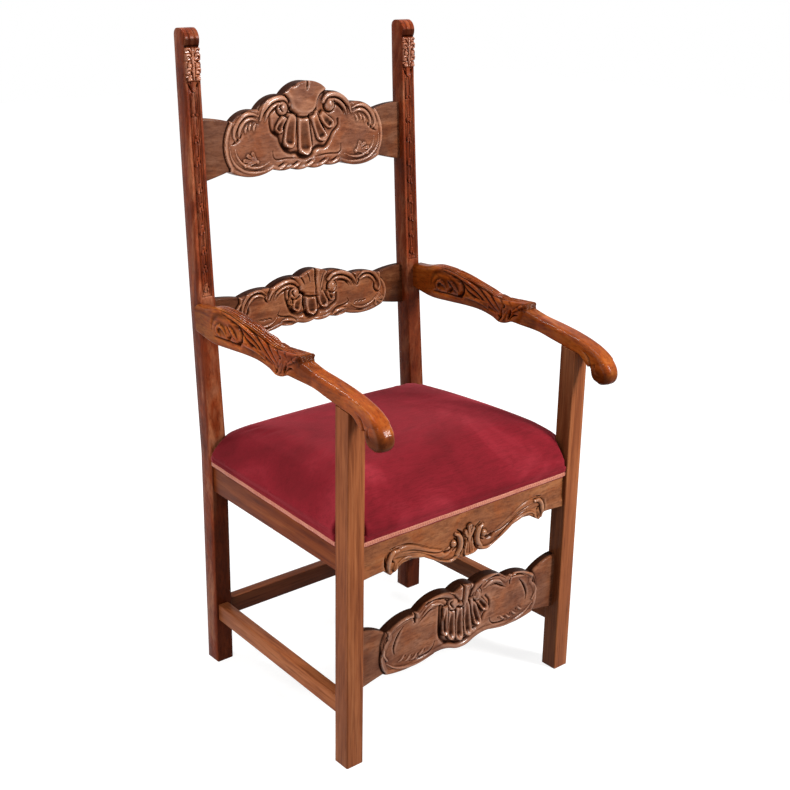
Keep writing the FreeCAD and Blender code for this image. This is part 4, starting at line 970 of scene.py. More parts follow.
def rear_posts():
    """Rings up the post: the carved front, then round the outer side, the back and the inner side."""
    carved_foot = PANEL_FOOT - 12
    zs = np.concatenate([np.linspace(0, carved_foot, PLAIN_ROWS, endpoint=False),
                         np.linspace(carved_foot, POST_TOP, POST_ROWS - PLAIN_ROWS)])[:, None]
    outer = POST_OUT - POST_SIDE_TAPER * np.clip((zs - POST_KINK) / (POST_TOP - POST_KINK), 0, 1)
    middle = (outer + POST_IN) / 2
    x = ((outer - POST_IN) / 2 - POST_EASE) * np.linspace(-1, 1, FRONT_COLUMNS)[None, :]
    z = zs + 0 * x
    relief = Relief(x, z)
    post_carving(relief)
    hollow = hollowness(relief.height, 8, 0.8)
    # Ridges made lighter, and the whole front a little: wear and painted highlight
    hollow = np.where(hollow < 0, 1.6 * hollow, hollow) - 0.10
    # Painted shade on the lower half of the roll, which faces down
    hollow = np.maximum(hollow, ROLL_SHADE * between(z, LEAF_TOP - 1, 2, LEAF_TOP + 17, 3))
    # Painted highlight on the leaf: a lighter colour, with more coat
    hollow = hollow - LEAF_GLEAM * between(z, LEAF_FOOT + 1, 3, LEAF_TOP, 2) * (hollow < 0.2)
    # Painted shade: the front darker below the panel, and darker still under the seat
    lower = 0.24 * smooth((PANEL_FOOT - z) / 15) + 0.22 * smooth((RAIL_TOP - z) / 30)
    hollow = np.where(z < PANEL_FOOT, np.maximum(hollow, lower), hollow)
    back = back_face(zs)
    low = front_face(zs) + POST_EASE
    side = low + (back - POST_EASE - low) * np.array([0, 0.33, 0.67, 1])
    inner = POST_IN + 0 * zs
    ring_x = np.hstack([middle + x, outer + 0 * side, outer - POST_EASE, middle, inner + POST_EASE,
                        inner + 0 * side])
    ring_y = np.hstack([front_face(z) - relief.height, side, back, back, back, side[:, ::-1]])
    shade = np.zeros(ring_x.shape)
    shade[:, :FRONT_COLUMNS] = hollow
    # Painted shade on the post's inner side
    shade[:, -4:] = POST_INNER_SHADE
    points = np.stack([ring_x, ring_y, zs + 0 * ring_x], 2)
    carved_pair("rear_post", points, shade, "post_wood", 55)


# ---- plain members ----

# The painted shade on a plain member's faces that look in towards the middle of the chair
INNER_SHADE = 0.46


def eased(node, look, width=1.2):
    """A plain member with its arrises rubbed soft, and a painted shade on its inner faces."""
    mesh = bmesh.new()
    mesh.from_mesh(frame["nodes"][node].data)
    bmesh.ops.remove_doubles(mesh, verts=mesh.verts, dist=0.00002)
    bmesh.ops.dissolve_limit(mesh, angle_limit=math.radians(4), verts=mesh.verts, edges=mesh.edges)
    sharp = [edge for edge in mesh.edges if edge.is_manifold and edge.calc_face_angle(0) > math.radians(30)]
    bmesh.ops.bevel(mesh, geom=sharp, offset=width * MM, segments=2, profile=0.6, affect="EDGES",
                    clamp_overlap=True)
    shape = bpy.data.meshes.new("eased_" + node)
    mesh.to_mesh(shape)
    mesh.free()
    shape.shade_smooth()
    shape.set_sharp_from_angle(angle=math.radians(35))
    painted_shade = shape.attributes.new("hollow", "FLOAT", "FACE")
    for face in shape.polygons:
        inwards = Vector((-face.center.x, SEAT_MIDDLE * MM - face.center.y)).normalized()
        painted_shade.data[face.index].value = INNER_SHADE if face.normal.xy @ inwards > 0.45 else 0.0
    dress(placed("eased_" + node, shape), look, (node,))


# ---- arms ----

ARM_SAMPLES = 340
KNOB_REACH = 83.0
SEAT_RUN = 449.0
ARM_WIDTH = 36.0
ARM_SEAT_HEIGHT = 682.0
ARM_SEAT_SLOPE = 0.16
ARM_REAR_TOP = 757.0
ARM_DATUM = 626.0
ARM_TOP = [(1.03, 1.0), (0.945, 1.02), (0.875, 1.08), (0.785, 1.075), (0.695, 1.025),
           (0.622, 0.965), (0.560, 0.905), (0.514, 0.878), (0.473, 0.885), (0.432, 0.896),
           (0.402, 0.905), (0.391, 0.815), (0.332, 0.762), (0.260, 0.723), (0.187, 0.675),
           (0.123, 0.615), (0.069, 0.535), (0.031, 0.435), (0.007, 0.315), (0.0, 0.190),
           (0.009, 0.098), (0.030, 0.056)]
ARM_LOW = [(1.03, 0.655), (0.945, 0.590), (0.875, 0.562), (0.785, 0.580), (0.695, 0.602),
           (0.622, 0.602), (0.560, 0.562), (0.523, 0.510), (0.491, 0.522), (0.462, 0.570),
           (0.440, 0.575), (0.422, 0.565)]
ARM_WAIST = [0.332, 0.260, 0.187, 0.139]
KNOB_LOW = [(0.114, 0.350), (0.095, 0.283), (0.086, 0.215), (0.083, 0.160), (0.076, 0.110), (0.058, 0.064)]
ARM_WIDTHS = [0.84, 0.92, 1.02, 1.03, 1.02, 1.0, 1.0, 1.02, 1.04, 1.05, 1.04, 0.95, 0.93, 0.97,
              1.0, 1.0, 1.0, 1.0, 1.0, 0.96, 0.86, 0.60]
LEAF_STATIONS = 11
SIDE_POINTS = 22
TOP_POINTS = 20
CORNER_POINTS = 6
ARM_MIDDLE = LEG_LOW[0] + (LEG_HIGH[0] - LEG_LOW[0]) / 2 + 0.25
KNOB_END = 52.0
LEAF_START = 100.0
# The radii of a section's upper and lower corners
KNOB_ROUNDING = (12.0, 12.0)
LEAF_ROUNDING = (9.0, 3.5)
LEAF_GROUND = 0.26
UNDER_SHADE = 0.16


def arm_lines():
    """The arm's upper and lower lines and its widths, smooth but for the leaf's lip."""
    run = KNOB_REACH + SEAT_RUN + float(sweep_at(np.array(ARM_REAR_TOP - 10.0), FRONT_SWEEP))
    tops, lows, knob = (np.array(shares) * [run, ARM_REAR_TOP - ARM_DATUM] + [0, ARM_DATUM]
                        for shares in (ARM_TOP, ARM_LOW, KNOB_LOW))
    waist = np.array(ARM_WAIST) * run
    waist = np.stack([waist, ARM_SEAT_HEIGHT + (waist - KNOB_REACH) * ARM_SEAT_SLOPE], 1)
    table = np.hstack([tops, np.vstack([lows, waist, knob]), np.array(ARM_WIDTHS)[:, None]])
    line = np.vstack([spline(table[:LEAF_STATIONS], 200), spline(table[LEAF_STATIONS:], 240)])
    middle = (line[:, 0:2] + line[:, 2:4]) / 2
    steps = np.concatenate([[0], np.cumsum(np.maximum(np.hypot(*(middle[1:] - middle[:-1]).T), 0.35))])
    places = np.linspace(0, steps[-1], ARM_SAMPLES)
    return np.stack([np.interp(places, steps, line[:, k]) for k in range(5)], 1)


def rounded_loop(half, tall, upper, lower):
    """A rounded section: places and outward directions, from the lower left corner round over the top."""
    places = []
    normals = []
    sides = [((-half, lower), (-half, tall - upper), SIDE_POINTS, (-1, 0)),
             ((-half + upper, tall), (half - upper, tall), TOP_POINTS, (0, 1)),
             ((half, tall - upper), (half, lower), SIDE_POINTS, (1, 0)),
             ((half - lower, 0), (-half + lower, 0), TOP_POINTS // 2, (0, -1))]
    corners = [(-half + upper, tall - upper, upper, 180), (half - upper, tall - upper, upper, 90),
               (half - lower, lower, lower, 0), (-half + lower, lower, lower, -90)]
    for (start, end, count, normal), (cx, cz, radius, angle) in zip(sides, corners):
        for t in np.linspace(0, 1, count):
            places.append((start[0] + (end[0] - start[0]) * t, start[1] + (end[1] - start[1]) * t))
            normals.append(normal)
        for k in range(1, CORNER_POINTS):
            a = math.radians(angle - 90 * k / CORNER_POINTS)
            places.append((cx + radius * math.cos(a), cz + radius * math.sin(a)))
            normals.append((math.cos(a), math.sin(a)))
    return np.array(places), np.array(normals)


def arm_side_carving(r):
    """The leaf on an arm's side: Y from the leg's face, Z over the floor."""
    def cut(points, width, depth, start=0.3, end=0.3):
        r.groove(points, width, depth, start, end)

    cut([(207, 712), (226, 722), (246, 735), (264, 747), (287, 757), (320, 767), (352, 772)], 3.0, 3.8)
    cut([(214, 711), (240, 720), (262, 732), (284, 742), (312, 751), (345, 759), (380, 765)], 3.0, 3.8)
    cut([(224, 712), (250, 719), (272, 727), (294, 734), (306, 741), (322, 749), (345, 754)], 2.8, 3.6)
    cut([(200, 716), (216, 729), (236, 744), (258, 756), (290, 766), (318, 773)], 3.0, 3.6)
    cut([(190, 728), (206, 740), (228, 752), (254, 763), (284, 772)], 2.8, 3.2)
    cut([(170, 733), (190, 745), (216, 757), (244, 767), (270, 776)], 2.8, 3.0)
    cut([(150, 739), (172, 749), (200, 759), (230, 769)], 1.8, 2.6)
    cut([(126, 748), (150, 752), (180, 760), (206, 768)], 1.6, 2.2)
    cut([(236, 711), (262, 716), (300, 719), (340, 718), (380, 717), (400, 716)], 1.9, 3.8)
    r.ridge([(240, 716), (268, 722), (296, 724), (310, 722)], 2.6, 2.0)
    cut([(322, 752), (315, 744), (312, 734), (315, 725), (324, 721)], 4.2, 7.0, 0.4, 0.5)
    r.ridge([(325, 726), (331, 732), (340, 740), (352, 746)], 3.8, 3.6, 0.4, 0.3)
    cut([(360, 744), (352, 738), (347, 731), (352, 724), (362, 722)], 3.0, 6.0, 0.4, 0.5)
    cut([(352, 755), (370, 760), (388, 759), (401, 751), (409, 739), (410, 727)], 6.0, 1.5)
    cut([(-16, 690), (-28, 684), (-36, 673), (-37, 660), (-31, 650)], 2.2, 2.6)
    cut([(-52, 676), (-48, 666), (-52, 656), (-60, 653)], 2.2, 2.2)
    r.ridge([(362, 728), (370, 736), (382, 740), (391, 734), (390, 726), (382, 723)], 3.6, 2.8, 0.4, 0.6)
    cut([(173, 722), (178, 712), (186, 700), (192, 694)], 3.0, 6.0, 0.8, 0.4)
    cut([(192, 730), (195, 718), (200, 706), (206, 698)], 3.0, 6.0, 0.6, 0.5)
    cut([(208, 710), (205, 702), (203, 695)], 1.8, 3.4)
    r.ridge([(183, 722), (188, 711), (194, 700)], 2.6, 2.4)
    cut([(98, 747), (112, 743), (128, 736), (145, 727), (158, 720), (170, 712), (176, 704)], 3.0, 5.0, 0.7, 0.5)
    r.ridge([(100, 753), (116, 750), (132, 744), (148, 736), (160, 728), (168, 722)], 3.4, 3.2, 0.5, 0.5)
    for y, z in ((112, 748), (124, 744), (136, 738.5), (148, 732)):
        cut([(y, z - 4), (y + 4, z + 1), (y + 10, z + 5)], 1.3, 3.4)


def arm_top_carving(r):
    """Flutes along the leaf's top: X from the arm's middle, Z here is the distance from the leg's face."""
    for x in (-13, -8, -3, 3, 8, 13):
        r.groove([(x * 0.55, 108 + abs(x)), (x * 0.75, 170), (x, 240), (x, 330), (x * 0.8, 400),
                  (x * 0.4, 424)],
                 1.8, 3.4)


def arms():
    """Rings along the arm from the post to the knob, carved over the leaf."""
    line = arm_lines()
    rings = []
    outs = []
    for top_y, top_z, low_y, low_z, width in line:
        up = np.array([top_y - low_y, top_z - low_z])
        tall = float(np.hypot(*up))
        up = up / tall
        half = ARM_WIDTH * width / 2
        limit = 0.48 * min(tall, 2 * half)
        upper, lower = KNOB_ROUNDING if low_y < KNOB_END else LEAF_ROUNDING
        places, normals = rounded_loop(half, tall, min(upper, limit), min(lower, limit))
        rings.append([(px, low_y + up[0] * pz, low_z + up[1] * pz) for px, pz in places])
        outs.append([(nx, up[0] * nz, up[1] * nz) for nx, nz in normals])
    points = np.array(rings)
    normals = np.array(outs)
    across, height = points[:, :, 0], points[:, :, 2]
    from_leg = points[:, :, 1] - KNOB_REACH
    sideways, up = np.abs(normals[:, :, 0]), normals[:, :, 2]
    side = Relief(from_leg, height)
    arm_side_carving(side)
    top = Relief(across, from_leg)
    arm_top_carving(top)
    lift = side.height * smooth((sideways - 0.25) / 0.5) + top.height * smooth((up - 0.25) / 0.5)
    hollow = hollowness(lift, 8, 1.3)
    along = line[:, :1] - KNOB_REACH
    slim = smooth((LEAF_START - 5 - along) / 15)
    # More coat towards the knob and a lighter colour there: the coat is real, the lighter colour a painted
    # highlight
    polish_and_highlight = smooth((30 - along) / 50)
    # The slim part's upper edges get more coat and a painted highlight
    edge = smooth((0.5 - np.abs(sideways - 0.7)) / 0.3) * (up > 0.2) * slim
    # Painted shade on the slim part's sides and underside
    shaded = UNDER_SHADE * smooth((0.35 - up) / 0.5) * slim
    ground = LEAF_GROUND * smooth((along - LEAF_START) / 8) * smooth((hollow + 0.30) / 0.25)
    # Ridges made lighter: wear and painted highlight
    hollow = np.where(hollow < 0, 1.9 * hollow, hollow)
    hollow = np.clip(hollow + ground + shaded - 0.45 * np.maximum(0.8 * polish_and_highlight, edge), -1, 1)
    # Painted shade under the knob
    under_knob = smooth((672 - height) / 22) * smooth((-28 - from_leg) / 12)
    hollow = np.maximum(hollow, 0.55 * under_knob)
    # Painted shade on the front face of the leaf's lip
    share = line[:, :1] * ARM_TOP[0][0] / line[:, 0].max()
    hollow = np.where((share > 0.3905) & (share < 0.4025) & (up > 0.2), np.maximum(hollow, 0.6), hollow)
    points = points + normals * lift[:, :, None]
    points += np.array([ARM_MIDDLE, SEAT_FRONT - KNOB_REACH, 0])
    points[:, :, 1] = np.minimum(points[:, :, 1], POST_FRONT + sweep_at(points[:, :, 2], FRONT_SWEEP))
    carved_pair("arm", points, hollow, "arm_wood", 60)


# ---- seat ----

CUSHION_VOXEL = 5.0
CUSHION_PRESSURE = 4.0
CUSHION_FRAMES = 20
CUSHION_CAP = 2.6
CUSHION_OUT = 4.0
CUSHION_OUT_TOP = 505.0
CUSHION_HELD = 0.012
SHOULDER_SIDE = 7.5
SHOULDER_REAR = 4.0


def evaluated_mesh(obj):
    """The mesh that an object's modifiers make; they are taken off."""
    graph = bpy.context.evaluated_depsgraph_get()
    mesh = bpy.data.meshes.new_from_object(obj.evaluated_get(graph))
    obj.modifiers.clear()
    return mesh


def triples(items, key):
    """A row of three numbers from each of a mesh's items."""
    values = np.empty(len(items) * 3)
    items.foreach_get(key, values)
    return values.reshape(-1, 3)


def configure(target, **settings):
    for key, value in settings.items():
        setattr(target, key, value)


def cushion():
    """The domed seat: the stuffing's form, swollen as cloth under pressure and held at its foot."""
    obj = placed("velvet_seat", frame["nodes"]["seat_stuffing"].data.copy())
    configure(obj.modifiers.new("remesh", "REMESH"), mode="VOXEL", voxel_size=CUSHION_VOXEL * MM)
    configure(obj.modifiers.new("ease", "SMOOTH"), factor=0.6, iterations=4)
    obj.data = evaluated_mesh(obj)
    inflate(obj)
    fill_out(obj.data)
    configure(obj.modifiers.new("divide", "SUBSURF"), levels=1, render_levels=1)
    obj.data = evaluated_mesh(obj)
    obj.data.shade_smooth()
    dress(obj, "velvet", ("velvet_cover", "seat_stuffing"))


def inflate(obj):
    """Swells the seat by a short cloth simulation, each place by at most the cap."""
    rest = triples(obj.data.vertices, "co")
    held = obj.vertex_groups.new(name="held")
    for index, z in enumerate(rest[:, 2] - rest[:, 2].min()):
        share = float(np.clip(1 - (z - CUSHION_HELD) / 0.010, 0, 1))
        if share > 0:
            held.add([index], share, "REPLACE")
    cloth = obj.modifiers.new("cloth", "CLOTH")
    configure(cloth.settings, quality=5, mass=0.3, tension_stiffness=12, compression_stiffness=12,
              bending_stiffness=1.5, use_pressure=True, uniform_pressure_force=CUSHION_PRESSURE,
              vertex_group_mass="held")
    cloth.settings.effector_weights.gravity = 0
    cloth.collision_settings.use_collision = False
    scene = bpy.context.scene
    for number in range(1, CUSHION_FRAMES + 1):
        scene.frame_set(number)
    move = triples(evaluated_mesh(obj).vertices, "co") - rest
    scene.frame_set(1)
    far = np.linalg.norm(move, axis=1, keepdims=True)
    points = rest + move * np.minimum(1, CUSHION_CAP * MM / np.maximum(far, 1e-9))
    obj.data.vertices.foreach_set("co", points.ravel())
    obj.data.update()


def fill_out(mesh):
    """The stuffing presses hardest against the cover over the rails and along the shoulders."""
    points = triples(mesh.vertices, "co") / MM
    normals = triples(mesh.vertex_normals, "vector")
    x, y, z = points.T
    left = sorted(band_ends("left_braid"), key=lambda end: end[1])
    side = -np.interp(y, [end[1] for end in left], [end[0] for end in left])
    front = band_ends("front_braid")[0][1]
    rear = band_ends("rear_braid")[0][1]

    def at_wall(gap, facing):
        return smooth(gap / 14) * smooth((facing - 0.15) / 0.3)
    foot = CUSHION_OUT * smooth((CUSHION_OUT_TOP - z) / 45)
    by_side = at_wall(np.abs(x) - side + 34, np.abs(normals[:, 0]))
    by_front = at_wall(front + 30 - y, -normals[:, 1])
    by_rear = at_wall(y - rear + 30, normals[:, 1])
    x += np.sign(x) * foot * by_side
    y += foot * (by_rear - by_front)
    side_bump = np.clip(1 - ((y - SEAT_MIDDLE) / 235) ** 2, 0, 1) * smooth((np.abs(x) - 110) / 110)
    rear_bump = np.clip(1 - (x / 260) ** 2, 0, 1) * smooth((y - 90) / 110)
    shoulder = np.maximum(SHOULDER_SIDE * side_bump, SHOULDER_REAR * rear_bump) * smooth(normals[:, 2] / 0.25)
    points += normals * shoulder[:, None]
    mesh.vertices.foreach_set("co", (points * MM).ravel())
    mesh.update()


def band_ends(node):
    """The middles of a straight band's two end faces, in millimetres."""
    points = triples(frame["nodes"][node].data.vertices, "co") / MM
    middle = points.mean(0)
    along = (points - middle) @ np.linalg.svd(points - middle)[2][0]
    return np.array([points[along < along.min() + 4].mean(0), points[along > along.max() - 4].mean(0)])


def band_frame(node):
    """A straight band's ends, its direction, its length, and its level way out from the seat."""
    ends = band_ends(node)
    axis = ends[1] - ends[0]
    length = float(np.linalg.norm(axis))
    axis = axis / length
    out = np.array([axis[1], -axis[0], 0.0])
    if out @ (ends.mean(0) - np.array([0, SEAT_MIDDLE, 0])) < 0:
        out = -out
    return ends, axis, length, out


BRAIDS = ("front_braid", "right_braid", "rear_braid", "left_braid")
BRAID_WIDTH = 8.4
BRAID_THICKNESS = 2.2
BRAID_LIFT = 3.8
BRAID_OVERRUN = 1.0
BRAID_STEP = 0.8
BRAID_ROWS = 15
BRAID_PITCH = 5.2
CORD_PITCH = 2.4
CORD_PLACE = 0.80


def braid(node):
    """A woven braid: a corded edge along each side and plaited strands between them."""
    ends, axis, length, out = band_frame(node)
    out = out / np.linalg.norm(out)
    up = np.cross(out, axis)
    up = up if up[2] > 0 else -up
    length = length + BRAID_OVERRUN
    columns = int(length / BRAID_STEP)
    u = np.linspace(-length / 2, length / 2, columns)[:, None]
    v = np.linspace(-1, 1, BRAID_ROWS)[None, :]
    plait = np.sin(2 * math.pi * (u / BRAID_PITCH + 0.55 * np.abs(v)))
    cord = np.exp(-((np.abs(v) - CORD_PLACE) / 0.16) ** 2)
    twist = np.sin(2 * math.pi * u / CORD_PITCH + 3 * v)
    height = 0.42 * plait * (1 - cord) + cord * (0.55 + 0.16 * twist)
    wander = 0.25 * np.sin(u / 17.0) + 0.15 * np.sin(u / 7.3)
    body = BRAID_THICKNESS * 0.75 * np.sqrt(np.clip(1 - v ** 2 * 0.86, 0, 1))
    middle = ends.mean(0) + np.array([0, 0, BRAID_LIFT])

    def layer(v, outwards):
        rise = v * BRAID_WIDTH / 2 + wander
        return middle + axis * u[..., None] + up * rise[..., None] + out * (outwards + 0 * rise)[..., None]
    points = np.concatenate([layer(v, body + height * 0.7), layer(v[:, ::-1], -BRAID_THICKNESS / 2)], axis=1)
    # Painted shade in the dips of the plait, stored as the hollow attribute
    hollow = np.concatenate([np.clip(-height * 1.5, -1, 1), np.zeros(height.shape)], axis=1)
    piece("woven_" + node, points, tube_faces(columns, 2 * BRAID_ROWS), "braid", (node,), hollow)


# The cover's form above the braid, as steps outwards and upwards from behind its middle
SKIRT = np.array([(0, -3), (0, 3), (1.4, 6), (2.8, 9), (3.8, 12.5), (4.2, 16.5), (3.2, 20.5), (-8, 21), (-8, 9),
                  (-1.7, 4), (-1.7, -3)])
SKIRT_COLUMNS = 60
SKIRT_GAP = 0.05


def skirt():
    """The cover's edge, pulled down over the rails behind the braid."""
    points = []
    faces = []
    for node in BRAIDS:
        ends, _, _, out = band_frame(node)
        line = ends[0] + (ends[1] - ends[0]) * np.linspace(0, 1, SKIRT_COLUMNS)[:, None]
        face = line - out * (BRAID_THICKNESS / 2 + SKIRT_GAP)
        faces += tube_faces(SKIRT_COLUMNS, len(SKIRT), len(points) * SKIRT_COLUMNS * len(SKIRT))
        points.append(face[:, None] + out * SKIRT[:, :1] + np.array([0, 0, 1]) * SKIRT[:, 1:])
    piece("velvet_skirt", points, faces, "velvet")


def islands(node):
    """The separate solids of a node, as arrays of points in millimetres."""
    mesh = bmesh.new()
    mesh.from_mesh(frame["nodes"][node].data)
    bmesh.ops.remove_doubles(mesh, verts=mesh.verts, dist=0.00001)
    left = set(mesh.verts)
    found = []
    while left:
        stack = [left.pop()]
        group = []
        while stack:
            vertex = stack.pop()
            group.append(tuple(vertex.co / MM))
            for edge in vertex.link_edges:
                other = edge.other_vert(vertex)
                if other in left:
                    left.remove(other)
                    stack.append(other)
        found.append(np.array(group))
    mesh.free()
    return sorted(found, key=lambda group: tuple(np.round(group.mean(0), 1)))


WEB_STEP = 2.0
WEB_COLUMNS = 27
WEB_WEAVE = 0.12


def webbing(node, along):
    """Jute webs with a woven face, each following its solid; along is the axis they run on."""
    points = []
    faces = []
    for group in islands(node):
        low, high = group.min(0), group.max(0)
        rows = int((high[along] - low[along]) / WEB_STEP)
        u = np.linspace(low[along], high[along], rows)[:, None]
        v = np.linspace(low[1 - along], high[1 - along], WEB_COLUMNS)[None, :]
        stations = np.unique(np.round(group[:, along], 1))
        levels = [group[np.abs(group[:, along] - station) < 0.6][:, 2] for station in stations]
        weave = WEB_WEAVE * (-1.0) ** (np.arange(rows)[:, None] + np.arange(WEB_COLUMNS)[None, :])
        top = np.interp(u, stations, [level.max() for level in levels]) + weave
        foot = np.interp(u, stations, [level.min() for level in levels]) + weave
        across = np.hstack([v, v[:, ::-1]]) + 0 * u
        place = (across, u + 0 * across) if along == 1 else (u + 0 * across, across)
        faces += tube_faces(rows, 2 * WEB_COLUMNS, sum(len(ring) for ring in points))
        points.append(np.stack([*place, np.hstack([top, foot])], 2).reshape(-1, 3))
    piece("woven_" + node, np.concatenate(points), faces, "webbing", (node,))


CLOTH_EDGE = 0.02
CLOTH_LIFT = 0.0004


def base_cloth():
    """The hessian over the webs, pulled tight: the underside of its solid, raised off the webs."""
    mesh = bmesh.new()
    mesh.from_mesh(frame["nodes"]["seat_base_cloth"].data)
    bmesh.ops.remove_doubles(mesh, verts=mesh.verts, dist=0.00001)
    others = [face for face in mesh.faces if face.normal.z > -0.5]
    bmesh.ops.delete(mesh, geom=others, context="FACES")
    bmesh.ops.dissolve_limit(mesh, angle_limit=math.radians(3), verts=mesh.verts, edges=mesh.edges)
    bmesh.ops.triangulate(mesh, faces=mesh.faces)
    for _ in range(4):
        long = [edge for edge in mesh.edges if edge.calc_length() > CLOTH_EDGE]
        bmesh.ops.subdivide_edges(mesh, edges=long, cuts=1)
        bmesh.ops.triangulate(mesh, faces=mesh.faces)
    area = sum(face.calc_area() for face in mesh.faces)
    for vertex in mesh.verts:
        vertex.co.z += CLOTH_LIFT
    shape = bpy.data.meshes.new("seat_cloth")
    mesh.to_mesh(shape)
    mesh.free()
    obj = dress(placed("seat_cloth", shape), "base_cloth", ("seat_base_cloth",))


# ---- surroundings ----

CAMERA_PLACE = (-1.4799, -1.7570, 1.4154)
CAMERA_YAW = -39.845
CAMERA_PITCH = 19.254
CAMERA_ROLL = 0.833
FRAME_PIXELS = 790
FOCAL_PIXELS = 1278.54
CENTRE_PIXELS = (388.60, 382.39)
SENSOR = 36.0
FLOOR_REACH = 9.0

# Each lamp's place, aim, width and height in metres, power in watts and colour
LAMPS = {
    "key": ((1.4, -2.45, 2.25), (0, 0, 0.7), (0.7, 0.8), 94, (1.0, 0.99, 0.97)),
    "glint": ((1.3, -2.3, 1.45), (0, 0.1, 0.9), (0.22, 0.30), 22, (1, 1, 1)),
    "back": ((-0.5, 0.9, 2.4), (0.1, -0.2, 0.7), (0.12, 1.2), 22, (1, 1, 1)),
    "fill": ((-0.68, -0.05, 0.72), (0, -0.05, 0.72), (0.36, 1.4), 3.4, (1.0, 0.98, 0.95)),
    "window": ((-1.9, -1.3, 2.9), (0, 0, 0.7), (0.5, 0.6), 14, (1, 1, 1)),
    "top": ((0.1, -0.3, 3.2), (0, 0.1, 0.5), (1.0, 1.0), 20, (1, 1, 1)),
}


def camera():
    """The photograph's camera, as solved from the chair's straight edges."""
    yaw, pitch, roll = (math.radians(a) for a in (CAMERA_YAW, CAMERA_PITCH, CAMERA_ROLL))
    back = Vector((math.sin(yaw) * math.cos(pitch), -math.cos(yaw) * math.cos(pitch), math.sin(pitch)))
    right = (-back).cross(Vector((0, 0, 1))).normalized()
    up = right.cross(-back)
    across = right * math.cos(roll) + up * math.sin(roll)
    over = up * math.cos(roll) - right * math.sin(roll)
    data = bpy.data.cameras.new("camera")
    configure(data, sensor_width=SENSOR, lens=FOCAL_PIXELS * SENSOR / FRAME_PIXELS, clip_end=60,
              shift_x=(FRAME_PIXELS / 2 - CENTRE_PIXELS[0]) / FRAME_PIXELS,
              shift_y=(CENTRE_PIXELS[1] - FRAME_PIXELS / 2) / FRAME_PIXELS)
    obj = placed("camera", data)
    turn = Matrix((across, over, back)).transposed().to_4x4()
    obj.matrix_world = Matrix.Translation(Vector(CAMERA_PLACE)) @ turn
    bpy.context.scene.camera = obj


def lamp(name, place, aim, size, power, colour):
    data = bpy.data.lights.new(name, "AREA")
    configure(data, shape="RECTANGLE", size=size[0], size_y=size[1], energy=power, color=colour)
    turn = (Vector(aim) - Vector(place)).to_track_quat("-Z", "Y").to_matrix().to_4x4()
    placed(name, data).matrix_world = Matrix.Translation(Vector(place)) @ turn


def seen_rays(n):
    """One where a ray comes from the camera or from a mirroring or clear surface."""
    path = n.add("LightPath").outputs
    other = n.math("MAXIMUM", path["Is Camera Ray"], path["Is Glossy Ray"])
    return n.math("MAXIMUM", other, path["Is Transmission Ray"])


def floor():
    """A white floor that keeps the chair's shadow and lights it no more than a gray one would."""
    corners = [(-FLOOR_REACH, -FLOOR_REACH, 0), (FLOOR_REACH, -FLOOR_REACH, 0), (FLOOR_REACH, FLOOR_REACH, 0),
               (-FLOOR_REACH, FLOOR_REACH, 0)]
    mesh = bpy.data.meshes.new("floor")
    mesh.from_pydata(corners, [], [(0, 1, 2, 3)])
    n = Nodes(bpy.data.materials.new("floor"))
    n.tree.nodes.clear()
    far = n.add("VectorMath", {0: n.add("TexCoord").outputs["Object"]}, operation="LENGTH")
    sockets = {"Value": far.outputs["Value"], "From Min": 0.2, "From Max": 2.6, "To Min": 0.84, "To Max": 1.0}
    rise = n.add("MapRange", sockets, interpolation_type="SMOOTHSTEP").outputs["Result"]
    matt = n.add("BsdfDiffuse", {"Color": (0.36, 0.36, 0.36, 1)}).outputs[0]
    glow = n.add("Emission", {"Strength": n.math("MULTIPLY", seen_rays(n), rise)}).outputs[0]
    both = n.add("AddShader", {0: matt, 1: glow}).outputs[0]
    n.add("OutputMaterial", {"Surface": both})
    mesh.materials.append(n.owner)
    placed("floor", mesh)


def world():
    """White where it is seen, and a faint light on the chair."""
    n = Nodes(bpy.data.worlds.new("studio"))
    n.tree.nodes.clear()
    level = n.add("MapRange", {"Value": seen_rays(n), "To Min": 0.13, "To Max": 1.0}).outputs["Result"]
    glow = n.add("Background", {"Color": WHITE, "Strength": level}).outputs[0]
    n.add("OutputWorld", {"Surface": glow})
    bpy.context.scene.world = n.owner


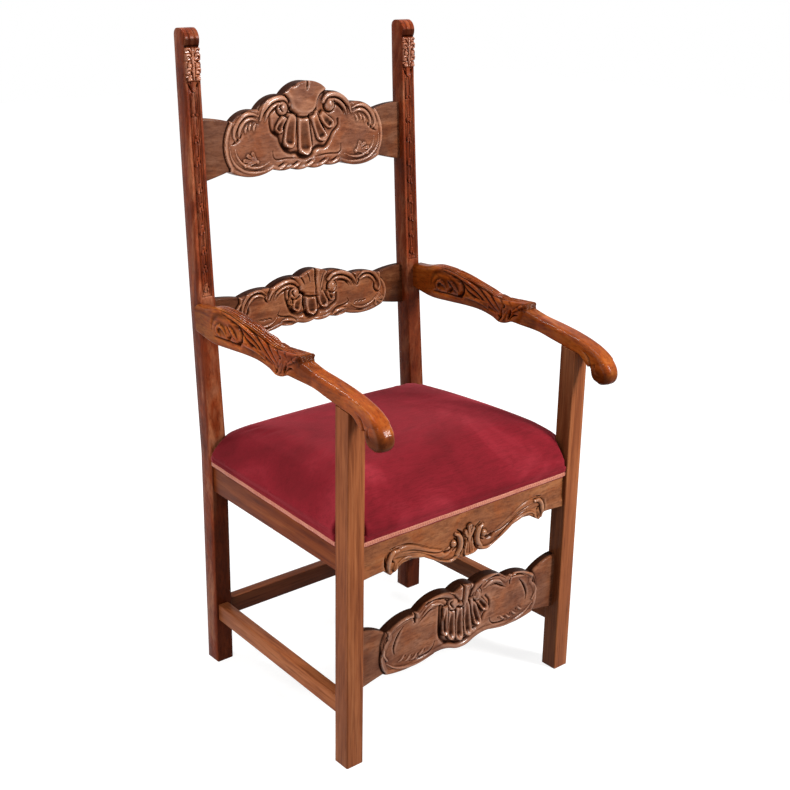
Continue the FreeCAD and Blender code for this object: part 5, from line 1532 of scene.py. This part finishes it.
def studio():
    bpy.context.scene.view_settings.view_transform = "Standard"
    camera()
    floor()
    world()
    for name, settings in LAMPS.items():
        lamp(name, *settings)


CREST_FOOT_Z = POST_TOP - 279.0
CREST_HEIGHT = 172.5
LOWER_BACK_FOOT_Z = 670.0
LOWER_BACK_HEIGHT = 111.5
FRONT_BOARD_FOOT_Z = 137.0
FRONT_RAIL_FOOT_Z = 331.0


def chair():
    carved_board("carved_crest", "crest_rail", POST_IN, CREST_HEIGHT, thickness=20.0,
                 shares=(CREST_TOP, CREST_FOOT), carve=crest_carving, place=leaning(CREST_FOOT_Z, CREST_HEIGHT))
    carved_board("carved_lower_back", "lower_back_rail", POST_IN, LOWER_BACK_HEIGHT, thickness=18.0,
                 shares=(MID_TOP, MID_FOOT), carve=mid_carving, look="back_wood",
                 place=leaning(LOWER_BACK_FOOT_Z, LOWER_BACK_HEIGHT))
    carved_board("carved_front_board", "front_stretcher_board", LEG_IN, height=136.0, thickness=17.5,
                 shares=(BOARD_TOP, BOARD_FOOT), carve=front_carving, ends=FRONT_END_SHADE,
                 place=upright(BOARD_BACK, FRONT_BOARD_FOOT_Z))
    carved_board("carved_front_rail", "front_seat_rail", LEG_IN, height=107.0, thickness=24.0,
                 shares=(None, RAIL_FOOT), carve=rail_carving, look="front_wood", scalloped=False,
                 place=upright(RAIL_BACK, FRONT_RAIL_FOOT_Z))
    rear_posts()
    arms()
    for side in ("left", "right"):
        eased(side + "_front_leg", "leg_wood", 0.9)
        eased(side + "_side_rail", "side_wood")
        eased(side + "_side_stretcher", "stretcher_wood")
        for end in ("front", "rear"):
            eased(side + "_" + end + "_corner_block", "block_wood", 0.6)
    eased("rear_seat_rail", "rail_wood")
    eased("rear_stretcher", "rail_wood")
    finish_with(frame["nodes"]["corner_block_screws"], "screw_steel")
    finish_with(frame["nodes"]["webbing_tacks"], "tack_steel")
    webbing("lengthwise_webbing", 1)
    webbing("crosswise_webbing", 0)
    base_cloth()
    cushion()
    skirt()
    for node in BRAIDS:
        braid(node)


chair()
studio()
